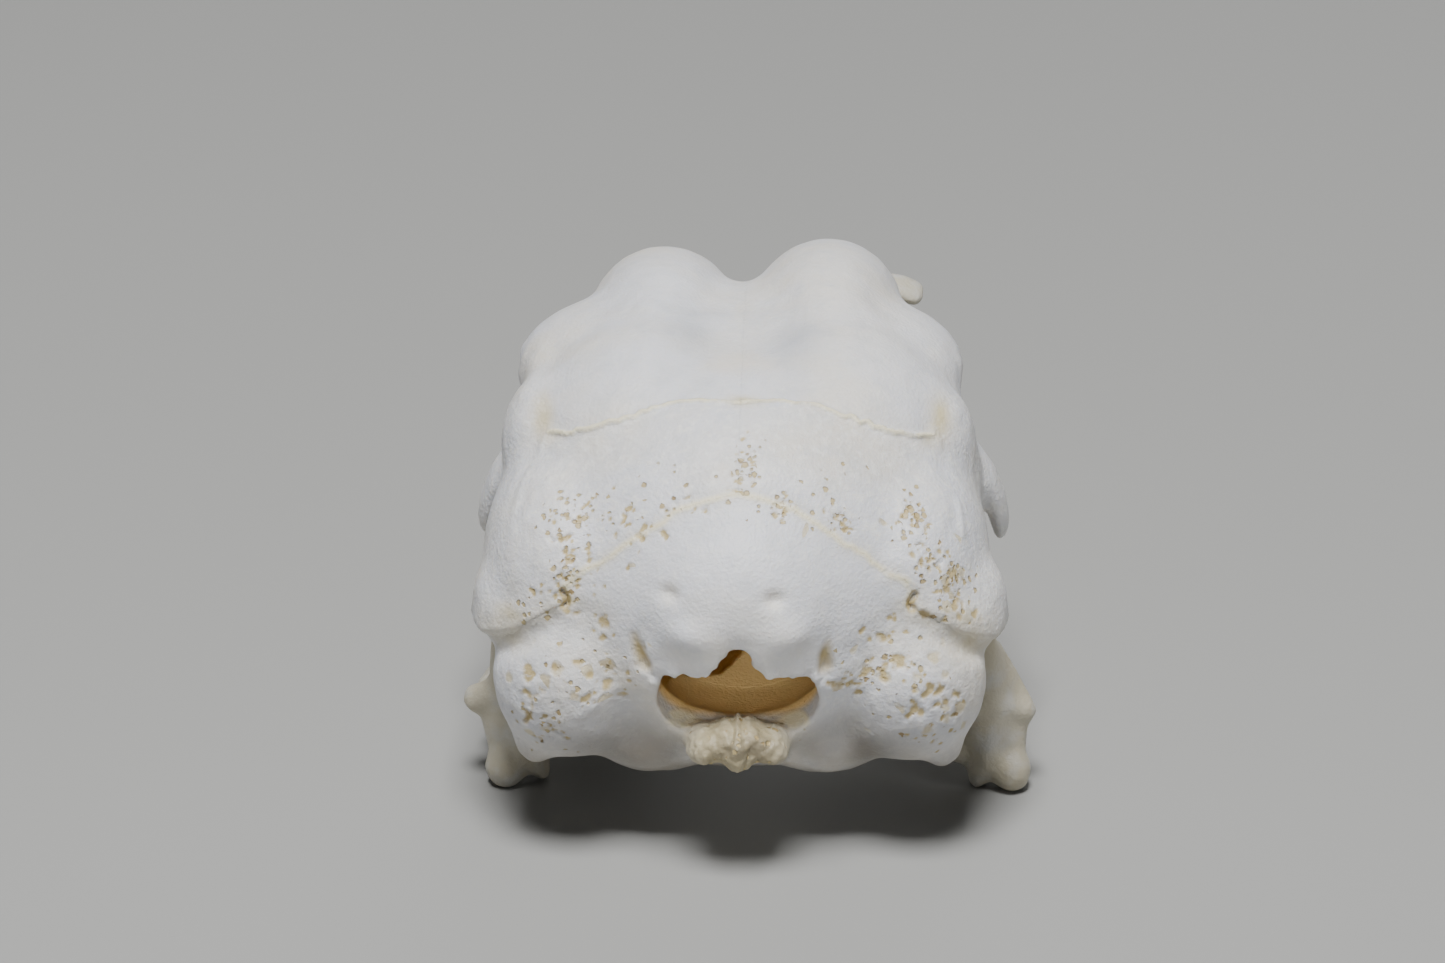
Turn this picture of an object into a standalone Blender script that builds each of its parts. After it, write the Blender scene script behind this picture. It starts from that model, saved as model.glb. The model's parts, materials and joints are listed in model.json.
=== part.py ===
"""Skull of a young chicken, life size, bone by bone.

It rests on the jaw knobs of both quadrates and on the tip of the beak. Sizes are millimetres, turned to
metres when a mesh is made. Points are (across, forward, up): 0 across is the middle plane, 0 forward is the
back of the head, and 0 up is the surface that the skull lies on. A root empty then moves all bones, so that
the origin of the model lies under the middle of the skull.
"""

from math import copysign, cos, pi, radians, sin

import bmesh
import bpy
from mathutils import Euler, Matrix, Vector

MM = 0.001
WORK = "work"
SKULL = "chicken_skull"

# Driving sizes of the whole skull: the front end of the beak, the gap between neighbours, the depth of the
# worn flats that it rests on, and the reach of the boxes that trim ends.
FRONT_END = 63.9
GAP = 0.3
REST_DEPTH = 0.2
TRIM = 40.0

# Surface work: grids of the fused bodies, passes of relaxing, and triangles left.
FUSE_GRID = 0.5
CARVE_GRID = 0.32
FINE_GRID = 0.28
BLEND_PASSES = 6
SOFTEN_PASSES = 3
CRANIUM_TRIANGLES = 5800
FINE_TRIANGLES = {
    "interorbital_septum": 520,
    "lacrimal": 240,
    "quadrate": 560,
    "jugal": 280,
    "palatine": 220,
    "maxilla": 200,
    "premaxilla": 780,
    "nasal": 480,
    "vomer": 130,
}
THIN_STEP = 1.12
WELD = 0.00001
SHARP_ANGLE = 40
# A bar's rounded end: how far it reaches, and its last section, as shares of the bar's own size.
ROUND_REACH = 0.5
ROUND_SHARE = 0.6

# Masses of the braincase and forehead: centre, radii, and turns about the three axes in degrees.
CENTRE_MASSES = {
    "back_of_head": ((0.0, 12.2, 13.2), (12.3, 12.4, 10.9), (0, 0, 0)),
    "cerebellum_bulge": ((0.0, 4.6, 14.6), (6.6, 5.5, 5.6), (0, 0, 0)),
    "forehead_plate": ((0.0, 18.0, 21.25), (5.6, 10.0, 2.65), (0, 0, 0)),
    "brow_valley": ((-0.2, 27.5, 18.2), (3.6, 12.5, 3.0), (-17, 0, 0)),
    "brow_ridge_right": ((4.35, 27.0, 20.5), (4.15, 10.0, 4.0), (-17, 0, 0)),
    "brow_ridge_left": ((-4.5, 27.0, 20.05), (4.1, 10.0, 3.95), (-17, 0, 0)),
    "nose_root": ((0.0, 37.5, 14.9), (6.8, 5.5, 2.3), (-24, 0, 0)),
    "base_plate": ((0.0, 9.5, 8.6), (9.6, 8.4, 3.9), (0, 0, 0)),
    "base_keel": ((0.0, 15.0, 8.0), (3.0, 7.0, 2.4), (0, 0, 0)),
}
SIDE_MASSES = {
    "forebrain_dome": ((4.8, 15.0, 15.8), (7.9, 9.8, 8.9), (0, 0, 0)),
    "brow_shelf": ((7.3, 20.6, 20.8), (4.75, 6.4, 2.8), (-8, 10, 0)),
    "temple_wall": ((8.75, 10.0, 14.8), (4.5, 7.4, 5.6), (0, -10, 0)),
    "temple_bump": ((9.72, 14.0, 18.8), (2.85, 4.0, 3.6), (0, 0, 0)),
    "ear_corner": ((11.0, 7.3, 13.2), (3.05, 3.1, 2.6), (0, 4, 0)),
    "ear_lobe": ((8.7, 5.0, 9.7), (4.2, 3.7, 4.7), (0, -8, 0)),
    "base_side": ((4.4, 8.4, 6.25), (4.3, 5.7, 2.9), (0, 0, 0)),
}
# How far to the right a pair lies off the middle, where the skull isn't quite even.
OFFSETS = {"brow_shelf": -0.22, "temple_wall": -0.25, "temple_bump": -0.22}
# Smaller forms, joined after the masses are blended, so that they stay crisp: the knob that joins the neck
# with its side lobes, the lobes' tips, and the rim that runs along the nuchal suture to the ear's corner.
CONDYLE_MASS = ((0.0, 1.1, 7.75), (1.35, 1.95, 1.35), (0, 0, 0))
CONDYLE_SIDE_MASS = ((1.7, 1.3, 7.6), (1.1, 1.5, 1.15), (0, 0, 0))
LOBE_TIP_MASS = ((10.55, 4.5, 6.7), (1.3, 1.25, 2.05), (0, 0, 0))
NUCHAL_RIM_PATH = ((8.6, 3.3, 15.5), (10.2, 3.6, 14.4), (11.6, 4.5, 13.3), (12.9, 5.9, 12.4), (13.5, 8, 12))
NUCHAL_RIM_RADII = (0.5, 0.75, 0.85, 0.85, 0.7)
POSTORBITAL_PATH = ((11.2, 16.6, 17.8), (12.9, 17.4, 15.2), (13.6, 17.9, 12.9), (13.7, 18.1, 11.6))
POSTORBITAL_HALVES = ((0.9, 1.8), (0.75, 1.6), (0.65, 1.2), (0.4, 0.7))
ZYGOMATIC_PATH = ((11.8, 11.5, 14.2), (12.4, 14.0, 12.4), (12.4, 16.0, 10.8))
ZYGOMATIC_HALVES = ((0.9, 1.5), (0.7, 1.0), (0.45, 0.6))

# Hollows: the brain's space, the orbits, the ear and throat recesses, and the grooves over and beside each
# lobe behind the ear.
BRAIN_SPACES = {
    "forebrain_space": ((0.0, 12.4, 15.7), (10.2, 7.1, 7.3), (0, 0, 0)),
    "hindbrain_space": ((0.0, 7.0, 12.4), (6.0, 6.0, 5.2), (0, 0, 0)),
}
ORBIT = ((7.4, 28.2, 12.2), (9.8, 9.8, 8.6), (0, 0, 0))
ORBIT_VAULT = ((4.4, 28.0, 16.2), (6.0, 8.0, 4.9), (-17, 0, 0))
EAR_RECESS = ((12.2, 9.8, 8.2), (4.4, 3.6, 3.5), (0, 0, 0))
THROAT_RECESS = ((6.8, 15.5, 4.0), (4.6, 7.0, 3.2), (0, 0, 0))
NUCHAL_GROOVE_PATH = ((9, 2.3, 14.3), (10.3, 2.6, 13.3), (11.6, 3.3, 12.2), (13, 4.6, 11.2), (14, 6.6, 10.8))
NUCHAL_GROOVE_RADII = (0.35, 0.5, 0.6, 0.65, 0.6)
LOBE_GROOVE_PATH = ((8.7, 2.2, 14.5), (7.0, 1.5, 13.3), (5.7, 0.8, 12.5), (4.8, 0.5, 11.8))
LOBE_GROOVE_RADII = (0.35, 0.45, 0.5, 0.55)
LOBE_NOTCH = ((8.3, 3.4, 4.6), (0.9, 2.2, 0.9), (0, 0, 0))

# Foramen magnum, drawn in its own plane, which faces back and down: its middle, the plane's tilt, and the
# right half of its outline, as (across, up) from the notch in its roof round to its floor.
FORAMEN_CENTRE = (0.0, 0.9, 11.1)
FORAMEN_TILT = 28.5
FORAMEN_DEPTH = 5.0
FORAMEN_HALF = (
    (0.0, 2.9),
    (0.55, 2.3),
    (1.15, 1.35),
    (1.7, 0.7),
    (2.6, 0.65),
    (3.6, 0.45),
    (4.25, -0.2),
    (4.2, -1.6),
    (3.3, -3.2),
    (1.4, -3.75),
    (0.0, -3.35),
)

# Sutures of the right side: points that they pass, and how far out the cut reaches, as a share of the way
# from the middle of the brain to the suture.
BRAIN_MIDDLE = (0.0, 11.0, 14.0)
SUTURE_NEAR = 0.35
SUTURE_FAR = 1.55
ORBIT_FAR = 1.3
BREGMA = (0.0, 8.6, 23.5)
LAMBDA = (0.0, 3.5, 20.7)
CORONAL_END = (10.0, 10.4, 21.0)
FRONTAL_CORNER = (12.5, 18.0, 19.2)
ASTERION = (8.75, 2.75, 14.9)
EAR_END = (12.8, 12.5, 10.4)
BASE_CORNER = (4.2, 7.0, 4.8)
CORONAL = (BREGMA, (3.5, 9.2, 23.2), (6.5, 8.9, 22.2), (8.3, 9.2, 21.5), CORONAL_END)
FRONTOSQUAMOSAL = (CORONAL_END, (10.4, 12.8, 21.9), (11.6, 16.0, 20.9), FRONTAL_CORNER)
ORBITAL = (FRONTAL_CORNER, (11.0, 20.0, 17.8), (7.4, 19.8, 17.4), (3.5, 20.6, 17.4), (0.0, 22.4, 17.0))
LAMBDOID = (LAMBDA, (2.4, 3.1, 20.2), (4.4, 2.9, 19.1), (6.85, 3.3, 17.0), (8.3, 3.4, 15.8), ASTERION)
PARIETOSQUAMOSAL = (CORONAL_END, (11.1, 9.0, 19.3), (10.6, 4.6, 17.0), ASTERION)
NUCHAL = (ASTERION, (10.25, 3.1, 13.75), (11.5, 3.7, 12.7), (13.0, 5.2, 11.7), (13.6, 10.0, 10.8), EAR_END)
SUPRAOCCIPITAL = (ASTERION, (7.1, 2.1, 13.5), (5.8, 1.4, 12.6), (4.6, 1.0, 11.8), (3.8, 0.6, 11.2))
BASIOCCIPITAL = ((2.6, 2.2, 10.0), (2.9, 1.8, 8.9), (3.2, 2.6, 6.8), (3.8, 4.6, 5.2), BASE_CORNER)
SIDE_SUTURES = {
    "coronal": (CORONAL, SUTURE_FAR),
    "frontosquamosal": (FRONTOSQUAMOSAL, SUTURE_FAR),
    "orbital": (ORBITAL, ORBIT_FAR),
    "lambdoid": (LAMBDOID, SUTURE_FAR),
    "parietosquamosal": (PARIETOSQUAMOSAL, SUTURE_FAR),
    "nuchal": (NUCHAL, SUTURE_FAR),
    "supraoccipital": (SUPRAOCCIPITAL, SUTURE_FAR),
    "basioccipital": (BASIOCCIPITAL, SUTURE_FAR),
    "basisphenoid": (((0.0, 7.2, 4.6), BASE_CORNER), SUTURE_FAR),
    "petrosal": ((BASE_CORNER, (7.5, 8.2, 5.6), (10.5, 10.5, 7.0), EAR_END), SUTURE_FAR),
    "squamosphenoid": ((EAR_END, (13.4, 14.6, 13.6), (12.9, 16.2, 17.0), FRONTAL_CORNER), SUTURE_FAR),
}
MIDDLE_SUTURES = {
    "interfrontal": (BREGMA, (0.0, 16.0, 25.0), (0.0, 26.0, 24.0), (0.0, 42.0, 17.0)),
    "interparietal": (LAMBDA, (0.0, 6.2, 22.2), BREGMA),
}
# The seam between the brows, as the lowest and highest corner of its cut.
BROW_SEAM = ((-GAP / 2, 27.0, 7.0), (GAP / 2, 41.0, 27.0))
# A point on the surface of each bone of the braincase, by which its piece is known.
BRAINCASE_SEEDS = {
    "frontal_right": (5.0, 14.0, 24.6),
    "parietal_right": (5.0, 6.4, 21.6),
    "squamosal_right": (12.9, 9.0, 16.0),
    "exoccipital_right": (9.0, 1.6, 9.5),
    "supraoccipital": (0.0, -0.6, 16.5),
    "basioccipital": (0.0, -0.7, 7.5),
    "sphenoid": (0.0, 14.0, 5.2),
}

# Face: stations forward, each with half width, top and foot of its arch, and its wall and hollow.
FACE_BACK = 38.6
FACE_STATIONS = (
    (38.0, 6.8, 16.9, 5.9),
    (41.0, 6.8, 15.9, 5.8),
    (44.0, 6.5, 14.6, 5.6),
    (48.0, 5.8, 12.9, 5.1),
    (52.0, 4.8, 11.0, 4.3),
    (56.0, 3.7, 8.6, 3.1),
    (60.0, 2.5, 5.4, 1.2),
    (62.4, 1.55, 2.8, -0.2),
    (FRONT_END, 0.6, 0.8, -0.4),
)
FACE_WALL = 1.15
FACE_FOOT = 0.5
FACE_HOLLOW_END = 55.0
FACE_HOLLOW_DROP = 3.0
FACE_HOLLOW_BACK = 2.0
# How square the arch is: powers of its width and of its height.
FACE_WIDTH_POWER = 0.8
FACE_HEIGHT_POWER = 0.95
NOSTRIL = ((0.0, 51.6, 8.1), (9.0, 4.6, 1.5), (-27, 0, 0))
ANTORBITAL = ((0.0, 40.4, 10.6), (9.0, 2.6, 3.0), (-14, 0, 0))
PROCESS_HALF_WIDTH = 1.4
PROCESS_BACK = 43.4
NASAL_FRONT = 51.0
NASAL_FRONT_FOOT = 8.5
MAXILLA_TOP = 7.6
MAXILLA_FRONT = 48.6
MAXILLA_SEAM_TOP = 9.4
FACE_SEEDS = {
    "nasal_right": (3.6, 41.5, 15.9),
    "maxilla_right": (6.4, 44.0, 6.0),
    "premaxilla": (0.0, 60.0, 5.4),
}

# Bars and plates: the path of each, and half width and half height along it, or the radius of a round one.
SEPTUM_OUTLINE = ((18.0, 7.0), (39.6, 9.0), (39.6, 12.4), (36.5, 16.8), (30.0, 20.0), (18.0, 20.5))
SEPTUM_WINDOW = ((0.0, 25.4, 13.2), (3.0, 1.5, 1.9), (0, 0, 0))
SEPTUM_THICKNESS = 1.0
ROSTRUM_PATH = ((0.0, 19.0, 7.3), (0.0, 26.0, 7.6), (0.0, 34.0, 8.4), (0.0, 40.0, 9.3))
ROSTRUM_RADII = (1.2, 1.0, 0.85, 0.5)
MAXILLA_PATH = ((6.2, 43.6, 6.3), (7.2, 39.5, 6.1), (8.35, 36.4, 5.9))
MAXILLA_HALVES = ((0.8, 0.9), (0.65, 0.8), (0.5, 0.65))
JUGAL_PATH = ((8.45, 36.0, 5.9), (10.2, 28.0, 5.8), (11.7, 20.5, 5.2), (12.6, 17.5, 4.7), (13.7, 14.8, 4.2))
JUGAL_RADII = (0.55, 0.5, 0.55, 0.6, 0.65)
JUGAL_KNOB = (13.95, 14.2, 4.1)
JUGAL_KNOB_RADII = (0.75, 0.95, 0.8)
JUGAL_SWAY = 0.4
PALATINE_PATH = ((3.6, 45.0, 5.9), (3.7, 38.0, 5.4), (3.4, 31.0, 5.0), (2.3, 25.5, 5.4), (1.7, 22.6, 5.6))
PALATINE_HALVES = ((0.5, 0.7), (0.5, 0.8), (0.55, 1.2), (0.55, 1.1), (0.6, 0.7))
VOMER_PATH = ((0.0, 40.0, 7.0), (0.0, 33.0, 6.6), (0.0, 27.0, 5.9))
VOMER_HALVES = ((0.4, 0.5), (0.5, 0.6), (0.8, 0.5))
PTERYGOID_PATH = ((1.9, 21.9, 5.4), (5.2, 18.6, 4.6), (9.9, 13.9, 3.5))
PTERYGOID_RADII = (0.75, 0.7, 0.85)
LACRIMAL_PATH = ((6.0, 37.2, 17.4), (8.0, 37.9, 17.4), (9.35, 37.9, 16.95))
LACRIMAL_HALVES = ((1.5, 0.65), (1.5, 0.6), (1.25, 0.5))
LACRIMAL_FOOT_PATH = ((7.4, 37.8, 17.0), (8.2, 38.2, 14.2), (7.7, 37.8, 11.2), (7.0, 36.8, 9.2))
LACRIMAL_FOOT_RADII = (0.85, 0.6, 0.5, 0.35)
LACRIMAL_LEFT_SHIFT = (0.8, 0.0, -1.1)

# Quadrate: its knobs as masses, its bars, and its sway about the head that sits in its socket.
QUADRATE_MASSES = {
    "quadrate_body": ((12.4, 11.8, 4.2), (1.6, 1.6, 2.5), (0, 0, 0)),
    "outer_flank": ((13.35, 12.0, 3.1), (1.15, 1.3, 2.1), (0, 0, 0)),
    "outer_knob": ((13.45, 11.2, 1.1), (1.15, 1.25, 1.3), (0, 0, 0)),
    "inner_knob": ((11.75, 11.7, 1.05), (0.6, 1.2, 1.3), (0, 16, 0)),
    "inner_flank": ((10.2, 12.0, 2.6), (1.9, 1.2, 0.8), (0, 36, 0)),
}
OTIC_PATH = ((12.8, 11.8, 5.0), (12.5, 11.0, 8.0), (11.6, 10.2, 11.3))
OTIC_RADII = (1.25, 1.1, 1.2)
BACK_RIDGE_PATH = ((12.6, 11.0, 4.6), (12.4, 10.7, 2.8), (12.1, 10.9, 1.3))
BACK_RIDGE_RADII = (0.5, 0.55, 0.5)
# The ridges out to each quadrate's cheek knob, which aren't alike: paths, as if at the right, and radii.
CHEEK_RIDGE = (
    ((11.4, 10.7, 5.7), (12.7, 10.8, 5.3), (14.2, 11.6, 4.3), (14.5, 12.2, 4.1)),
    (0.7, 0.65, 0.7, 0.75),
)
CHEEK_WEB = (((13.0, 11.8, 8.2), (13.7, 12.1, 6.4), (14.4, 12.3, 4.6)), (0.6, 0.55, 0.6))
CHEEK_ROD = (((11.4, 10.9, 6.1), (13.1, 11.4, 5.4), (14.8, 12.2, 4.65)), (0.8, 0.85, 0.9))
CHEEK_RIDGES = {"quadrate_right": (CHEEK_RIDGE, CHEEK_WEB), "quadrate_left": (CHEEK_ROD,)}
ORBITAL_PATH = ((12.0, 12.8, 5.6), (9.9, 15.6, 8.2), (8.6, 17.2, 9.8))
ORBITAL_HALVES = ((0.7, 1.4), (0.55, 1.3), (0.4, 0.8))
QUADRATE_PIVOT = (11.6, 10.2, 10.5)
QUADRATE_SWAY = -5.5

RESTING_NODES = ("quadrate", "premaxilla")

# Finish of each bone: colour and roughness.
WHITE_BONE = ((0.66, 0.66, 0.67), 0.48)
CREAM_BONE = ((0.66, 0.62, 0.53), 0.52)
BEIGE_BONE = ((0.52, 0.49, 0.41), 0.5)
CREAM_NODES = ("basioccipital", "sphenoid", "premaxilla", "interorbital_septum", "vomer")
BEIGE_NODES = ("quadrate", "pterygoid", "palatine", "jugal", "lacrimal", "maxilla")


def remove_all():
    """Empties the scene."""
    for thing in list(bpy.data.objects):
        bpy.data.objects.remove(thing)


def new_collection(name):
    """A collection of the scene with that name."""
    collection = bpy.data.collections.new(name)
    bpy.context.scene.collection.children.link(collection)
    return collection


def object_of(name, bm):
    """Makes an object of a bmesh, which is freed."""
    mesh = bpy.data.meshes.new(name)
    bm.to_mesh(mesh)
    bm.free()
    thing = bpy.data.objects.new(name, mesh)
    bpy.data.collections[WORK].objects.link(thing)
    return thing


def placement(centre, radii, turns):
    """The matrix that puts a unit sphere at a centre in mm, with its radii and turns."""
    turn = Euler([radians(a) for a in turns]).to_matrix().to_4x4()
    size = Matrix.Diagonal((radii[0] * MM, radii[1] * MM, radii[2] * MM, 1.0))
    return Matrix.Translation(Vector(centre) * MM) @ turn @ size


def ellipsoid(name, mass, segments=40, rings=24, side=1):
    """A closed ellipsoid; side -1 puts it at the left."""
    bm = bmesh.new()
    bmesh.ops.create_uvsphere(bm, u_segments=segments, v_segments=rings, radius=1.0)
    bm.transform(placement(*mass))
    if side < 0:
        flip_side(bm)
    return object_of(name, bm)


def flip_side(bm):
    """Mirrors a bmesh across the middle plane and keeps its faces pointing out."""
    bm.transform(Matrix.Scale(-1, 4, (1, 0, 0)))
    bmesh.ops.reverse_faces(bm, faces=bm.faces)


def mirrored(thing, name):
    """A copy of an object on the other side of the middle plane."""
    bm = bmesh.new()
    bm.from_mesh(thing.data)
    flip_side(bm)
    return object_of(name, bm)


def copy_of(thing, name):
    """A copy of an object with a mesh of its own."""
    bm = bmesh.new()
    bm.from_mesh(thing.data)
    return object_of(name, bm)


def apply_modifiers(thing):
    """Makes the evaluated mesh of an object its own mesh."""
    graph = bpy.context.evaluated_depsgraph_get()
    mesh = bpy.data.meshes.new_from_object(thing.evaluated_get(graph))
    thing.modifiers.clear()
    thing.data = mesh


def combine(thing, others, operation):
    """One Boolean with several closed objects, which are removed."""
    tools = bpy.data.collections.new("tools")
    for other in others:
        tools.objects.link(other)
    boolean = thing.modifiers.new("combine", "BOOLEAN")
    boolean.operation = operation
    boolean.operand_type = "COLLECTION"
    boolean.collection = tools
    # These skins are dense and touch in long slivers, which the exact solver leaves open.
    boolean.solver = "MANIFOLD"
    apply_modifiers(thing)
    for other in others:
        bpy.data.objects.remove(other)
    bpy.data.collections.remove(tools)


def fuse(thing, grid, passes):
    """Makes one even skin of a closed body and relaxes it, which blends its masses."""
    remesh = thing.modifiers.new("fuse", "REMESH")
    remesh.mode = "VOXEL"
    remesh.voxel_size = grid * MM
    relax = thing.modifiers.new("relax", "SMOOTH")
    relax.factor = 0.5
    relax.iterations = passes
    apply_modifiers(thing)


def is_closed(mesh):
    """Whether each edge of a mesh joins just two faces."""
    bm = bmesh.new()
    bm.from_mesh(mesh)
    closed = all(edge.is_manifold for edge in bm.edges)
    bm.free()
    return closed


def thin_out(thing, triangles):
    """Lowers the number of triangles of a body to about that many, or to as few as leave it closed."""
    dense = thing.data
    dense.calc_loop_triangles()
    count = len(dense.loop_triangles)
    while triangles < count:
        decimate = thing.modifiers.new("thin out", "DECIMATE")
        decimate.ratio = triangles / count
        decimate.use_collapse_triangulate = True
        apply_modifiers(thing)
        if is_closed(thing.data):
            return
        thing.data = dense
        triangles *= THIN_STEP


def shells_of(thing):
    """The closed surfaces of a mesh, each as a list of its faces' indices, largest first."""
    bm = bmesh.new()
    bm.from_mesh(thing.data)
    bm.faces.ensure_lookup_table()
    seen = set()
    shells = []
    for start in bm.faces:
        if start.index in seen:
            continue
        seen.add(start.index)
        front = [start]
        shell = []
        while front:
            face = front.pop()
            shell.append(face.index)
            for edge in face.edges:
                for near in edge.link_faces:
                    if near.index not in seen:
                        seen.add(near.index)
                        front.append(near)
        shells.append(shell)
    bm.free()
    return sorted(shells, key=len, reverse=True)


def keep_shell(thing, shell, name):
    """A new object with only the given faces of a mesh."""
    bm = bmesh.new()
    bm.from_mesh(thing.data)
    bm.faces.ensure_lookup_table()
    kept = set(shell)
    bmesh.ops.delete(bm, geom=[f for f in bm.faces if f.index not in kept], context="FACES")
    return object_of(name, bm)


def keep_largest(thing):
    """Drops all but the largest closed surface of an object."""
    shells = shells_of(thing)
    if len(shells) == 1:
        return thing
    kept = keep_shell(thing, shells[0], thing.name + ".kept")
    name = thing.name
    bpy.data.objects.remove(thing)
    kept.name = name
    return kept


def smooth_path(points, steps=6):
    """Points of a smooth curve through the given ones (Catmull-Rom), steps to a span."""
    points = [Vector(p) for p in points]
    ends = [2 * points[0] - points[1]] + points + [2 * points[-1] - points[-2]]
    path = []
    for i in range(1, len(ends) - 2):
        a, b, c, d = ends[i - 1 : i + 3]
        for k in range(steps):
            t = k / steps
            bend = (2 * a - 5 * b + 4 * c - d) * t**2 + (3 * b - a - 3 * c + d) * t**3
            path.append(0.5 * (2 * b + (c - a) * t + bend))
    path.append(points[-1])
    return path


def loft(name, rings):
    """A closed body through rings of equal length, with flat ends, facing out."""
    bm = bmesh.new()
    rows = [[bm.verts.new(Vector(p) * MM) for p in ring] for ring in rings]
    count = len(rings[0])
    for low, high in zip(rows, rows[1:]):
        for k in range(count):
            bm.faces.new((low[k], low[(k + 1) % count], high[(k + 1) % count], high[k]))
    bm.faces.new(list(reversed(rows[0])))
    bm.faces.new(rows[-1])
    bmesh.ops.recalc_face_normals(bm, faces=bm.faces)
    return object_of(name, bm)


def with_round_ends(path, sizes):
    """The path and sizes with a smaller section added past each end, so that a bar ends rounded."""
    first = path[0] + (path[0] - path[1]).normalized() * min(sizes[0].xy) * ROUND_REACH
    last = path[-1] + (path[-1] - path[-2]).normalized() * min(sizes[-1].xy) * ROUND_REACH
    return [first, *path, last], [sizes[0] * ROUND_SHARE, *sizes, sizes[-1] * ROUND_SHARE]


def rod(name, points, halves, side_hint=(0, 0, 1), count=10, steps=3):
    """A flat bone bar through points: its half width across the hint and half height along it change."""
    sizes = smooth_path([(a, b, 0) for a, b in halves], steps)
    path, sizes = with_round_ends(smooth_path(points, steps), sizes)
    rings = []
    for i, centre in enumerate(path):
        ahead = (path[min(i + 1, len(path) - 1)] - path[max(i - 1, 0)]).normalized()
        up = (Vector(side_hint) - ahead * ahead.dot(Vector(side_hint))).normalized()
        across = ahead.cross(up)
        angles = [2 * pi * k / count for k in range(count)]
        rings.append([centre + across * sizes[i].x * cos(a) + up * sizes[i].y * sin(a) for a in angles])
    return loft(name, rings)


def mesh_of_curve(name, curve, turn=Matrix()):
    """The closed mesh of a curve, with its caps welded; the curve is removed."""
    line = bpy.data.objects.new(name, curve)
    bpy.data.collections[WORK].objects.link(line)
    graph = bpy.context.evaluated_depsgraph_get()
    mesh = bpy.data.meshes.new_from_object(line.evaluated_get(graph))
    bm = bmesh.new()
    bm.from_mesh(mesh)
    bpy.data.objects.remove(line)
    bmesh.ops.remove_doubles(bm, verts=bm.verts, dist=WELD)
    bmesh.ops.recalc_face_normals(bm, faces=bm.faces)
    bm.transform(turn)
    return object_of(name, bm)


def bar(name, points, radii, steps=3):
    """A round bone bar: a curve along the path, as thick as its radii."""
    sizes = smooth_path([(r, r, 0) for r in radii], steps)
    path, sizes = with_round_ends(smooth_path(points, steps), sizes)
    curve = bpy.data.curves.new(name, "CURVE")
    curve.dimensions = "3D"
    curve.bevel_depth = MM
    curve.bevel_resolution = 2
    curve.use_fill_caps = True
    line = curve.splines.new("POLY")
    line.points.add(len(path) - 1)
    for point, place, size in zip(line.points, path, sizes):
        point.co = (*(place * MM), 1.0)
        point.radius = size.x
    return mesh_of_curve(name, curve)


def plate(name, outline, thickness):
    """A flat plate in the middle plane from its outline, as (forward, up) points."""
    curve = bpy.data.curves.new(name, "CURVE")
    curve.dimensions = "2D"
    curve.fill_mode = "BOTH"
    curve.extrude = thickness * MM / 2
    line = curve.splines.new("POLY")
    line.points.add(len(outline) - 1)
    line.use_cyclic_u = True
    for point, (forward, up) in zip(line.points, outline):
        point.co = (forward * MM, up * MM, 0.0, 1.0)
    stand_up = Matrix(((0, 0, 1, 0), (1, 0, 0, 0), (0, 1, 0, 0), (0, 0, 0, 1)))
    return mesh_of_curve(name, curve, stand_up)


def slab(name, low, high):
    """A box between its lowest and highest corner in mm."""
    centre = [(a + b) / 2 for a, b in zip(low, high)]
    size = [b - a for a, b in zip(low, high)]
    bm = bmesh.new()
    bmesh.ops.create_cube(bm, size=1.0)
    bm.transform(placement(centre, size, (0, 0, 0)))
    return object_of(name, bm)


def pair(name, mass):
    """The same mass at the right and at the left, both moved by the pair's offset."""
    both = [ellipsoid(name, mass), ellipsoid(name + ".left", mass, side=-1)]
    for thing in both:
        thing.data.transform(Matrix.Translation((OFFSETS.get(name, 0.0) * MM, 0, 0)))
    return both


def with_twin(thing):
    """A right piece and its mirror image at the left."""
    return [thing, mirrored(thing, thing.name + ".left")]


def swollen(thing, by):
    """A copy of an object, grown along its normals by that many mm."""
    grown = copy_of(thing, thing.name + ".swollen")
    displace = grown.modifiers.new("grow", "DISPLACE")
    displace.strength = by * MM
    displace.mid_level = 0.0
    apply_modifiers(grown)
    return grown


def clear_of(thing, others):
    """Cuts an object back, so that it keeps the gap to its neighbours."""
    name = thing.name
    combine(thing, [swollen(other, GAP) for other in others], "DIFFERENCE")
    kept = keep_largest(thing)
    kept.name = name
    return kept


def both_sides(seeds):
    """The seeds with those of the right side repeated at the left."""
    full = dict(seeds)
    for name, (x, y, z) in seeds.items():
        if name.endswith("_right"):
            full[name.replace("_right", "_left")] = (-x, y, z)
    return full


def distance_to_shell(thing, shell, seed):
    """How near the closest corner of a closed surface comes to a seed in mm."""
    corners = {v for f in shell for v in thing.data.polygons[f].vertices}
    return min((thing.data.vertices[v].co - Vector(seed) * MM).length for v in corners)


def part(thing, walls, seeds):
    """Cuts a body with thin walls and returns its pieces, each known by the seed that it lies at."""
    combine(thing, walls, "DIFFERENCE")
    shells = shells_of(thing)
    pieces = []
    for name, seed in both_sides(seeds).items():
        shell = min(shells, key=lambda s: distance_to_shell(thing, s, seed))
        pieces.append(keep_shell(thing, shell, name))
    bpy.data.objects.remove(thing)
    return pieces


# The braincase is modelled whole and then parted along its sutures.


def foramen_cutter():
    """A straight channel of the foramen's outline, from outside into the hindbrain's space."""
    turn = Matrix.Rotation(radians(FORAMEN_TILT), 3, "X")
    outline = [*FORAMEN_HALF, *[(-x, z) for x, z in reversed(FORAMEN_HALF[1:-1])]]
    rings = []
    for depth in (-FORAMEN_DEPTH, FORAMEN_DEPTH):
        rings.append([turn @ Vector((x, depth, z)) + Vector(FORAMEN_CENTRE) for x, z in outline])
    return loft("foramen_cutter", rings)


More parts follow.
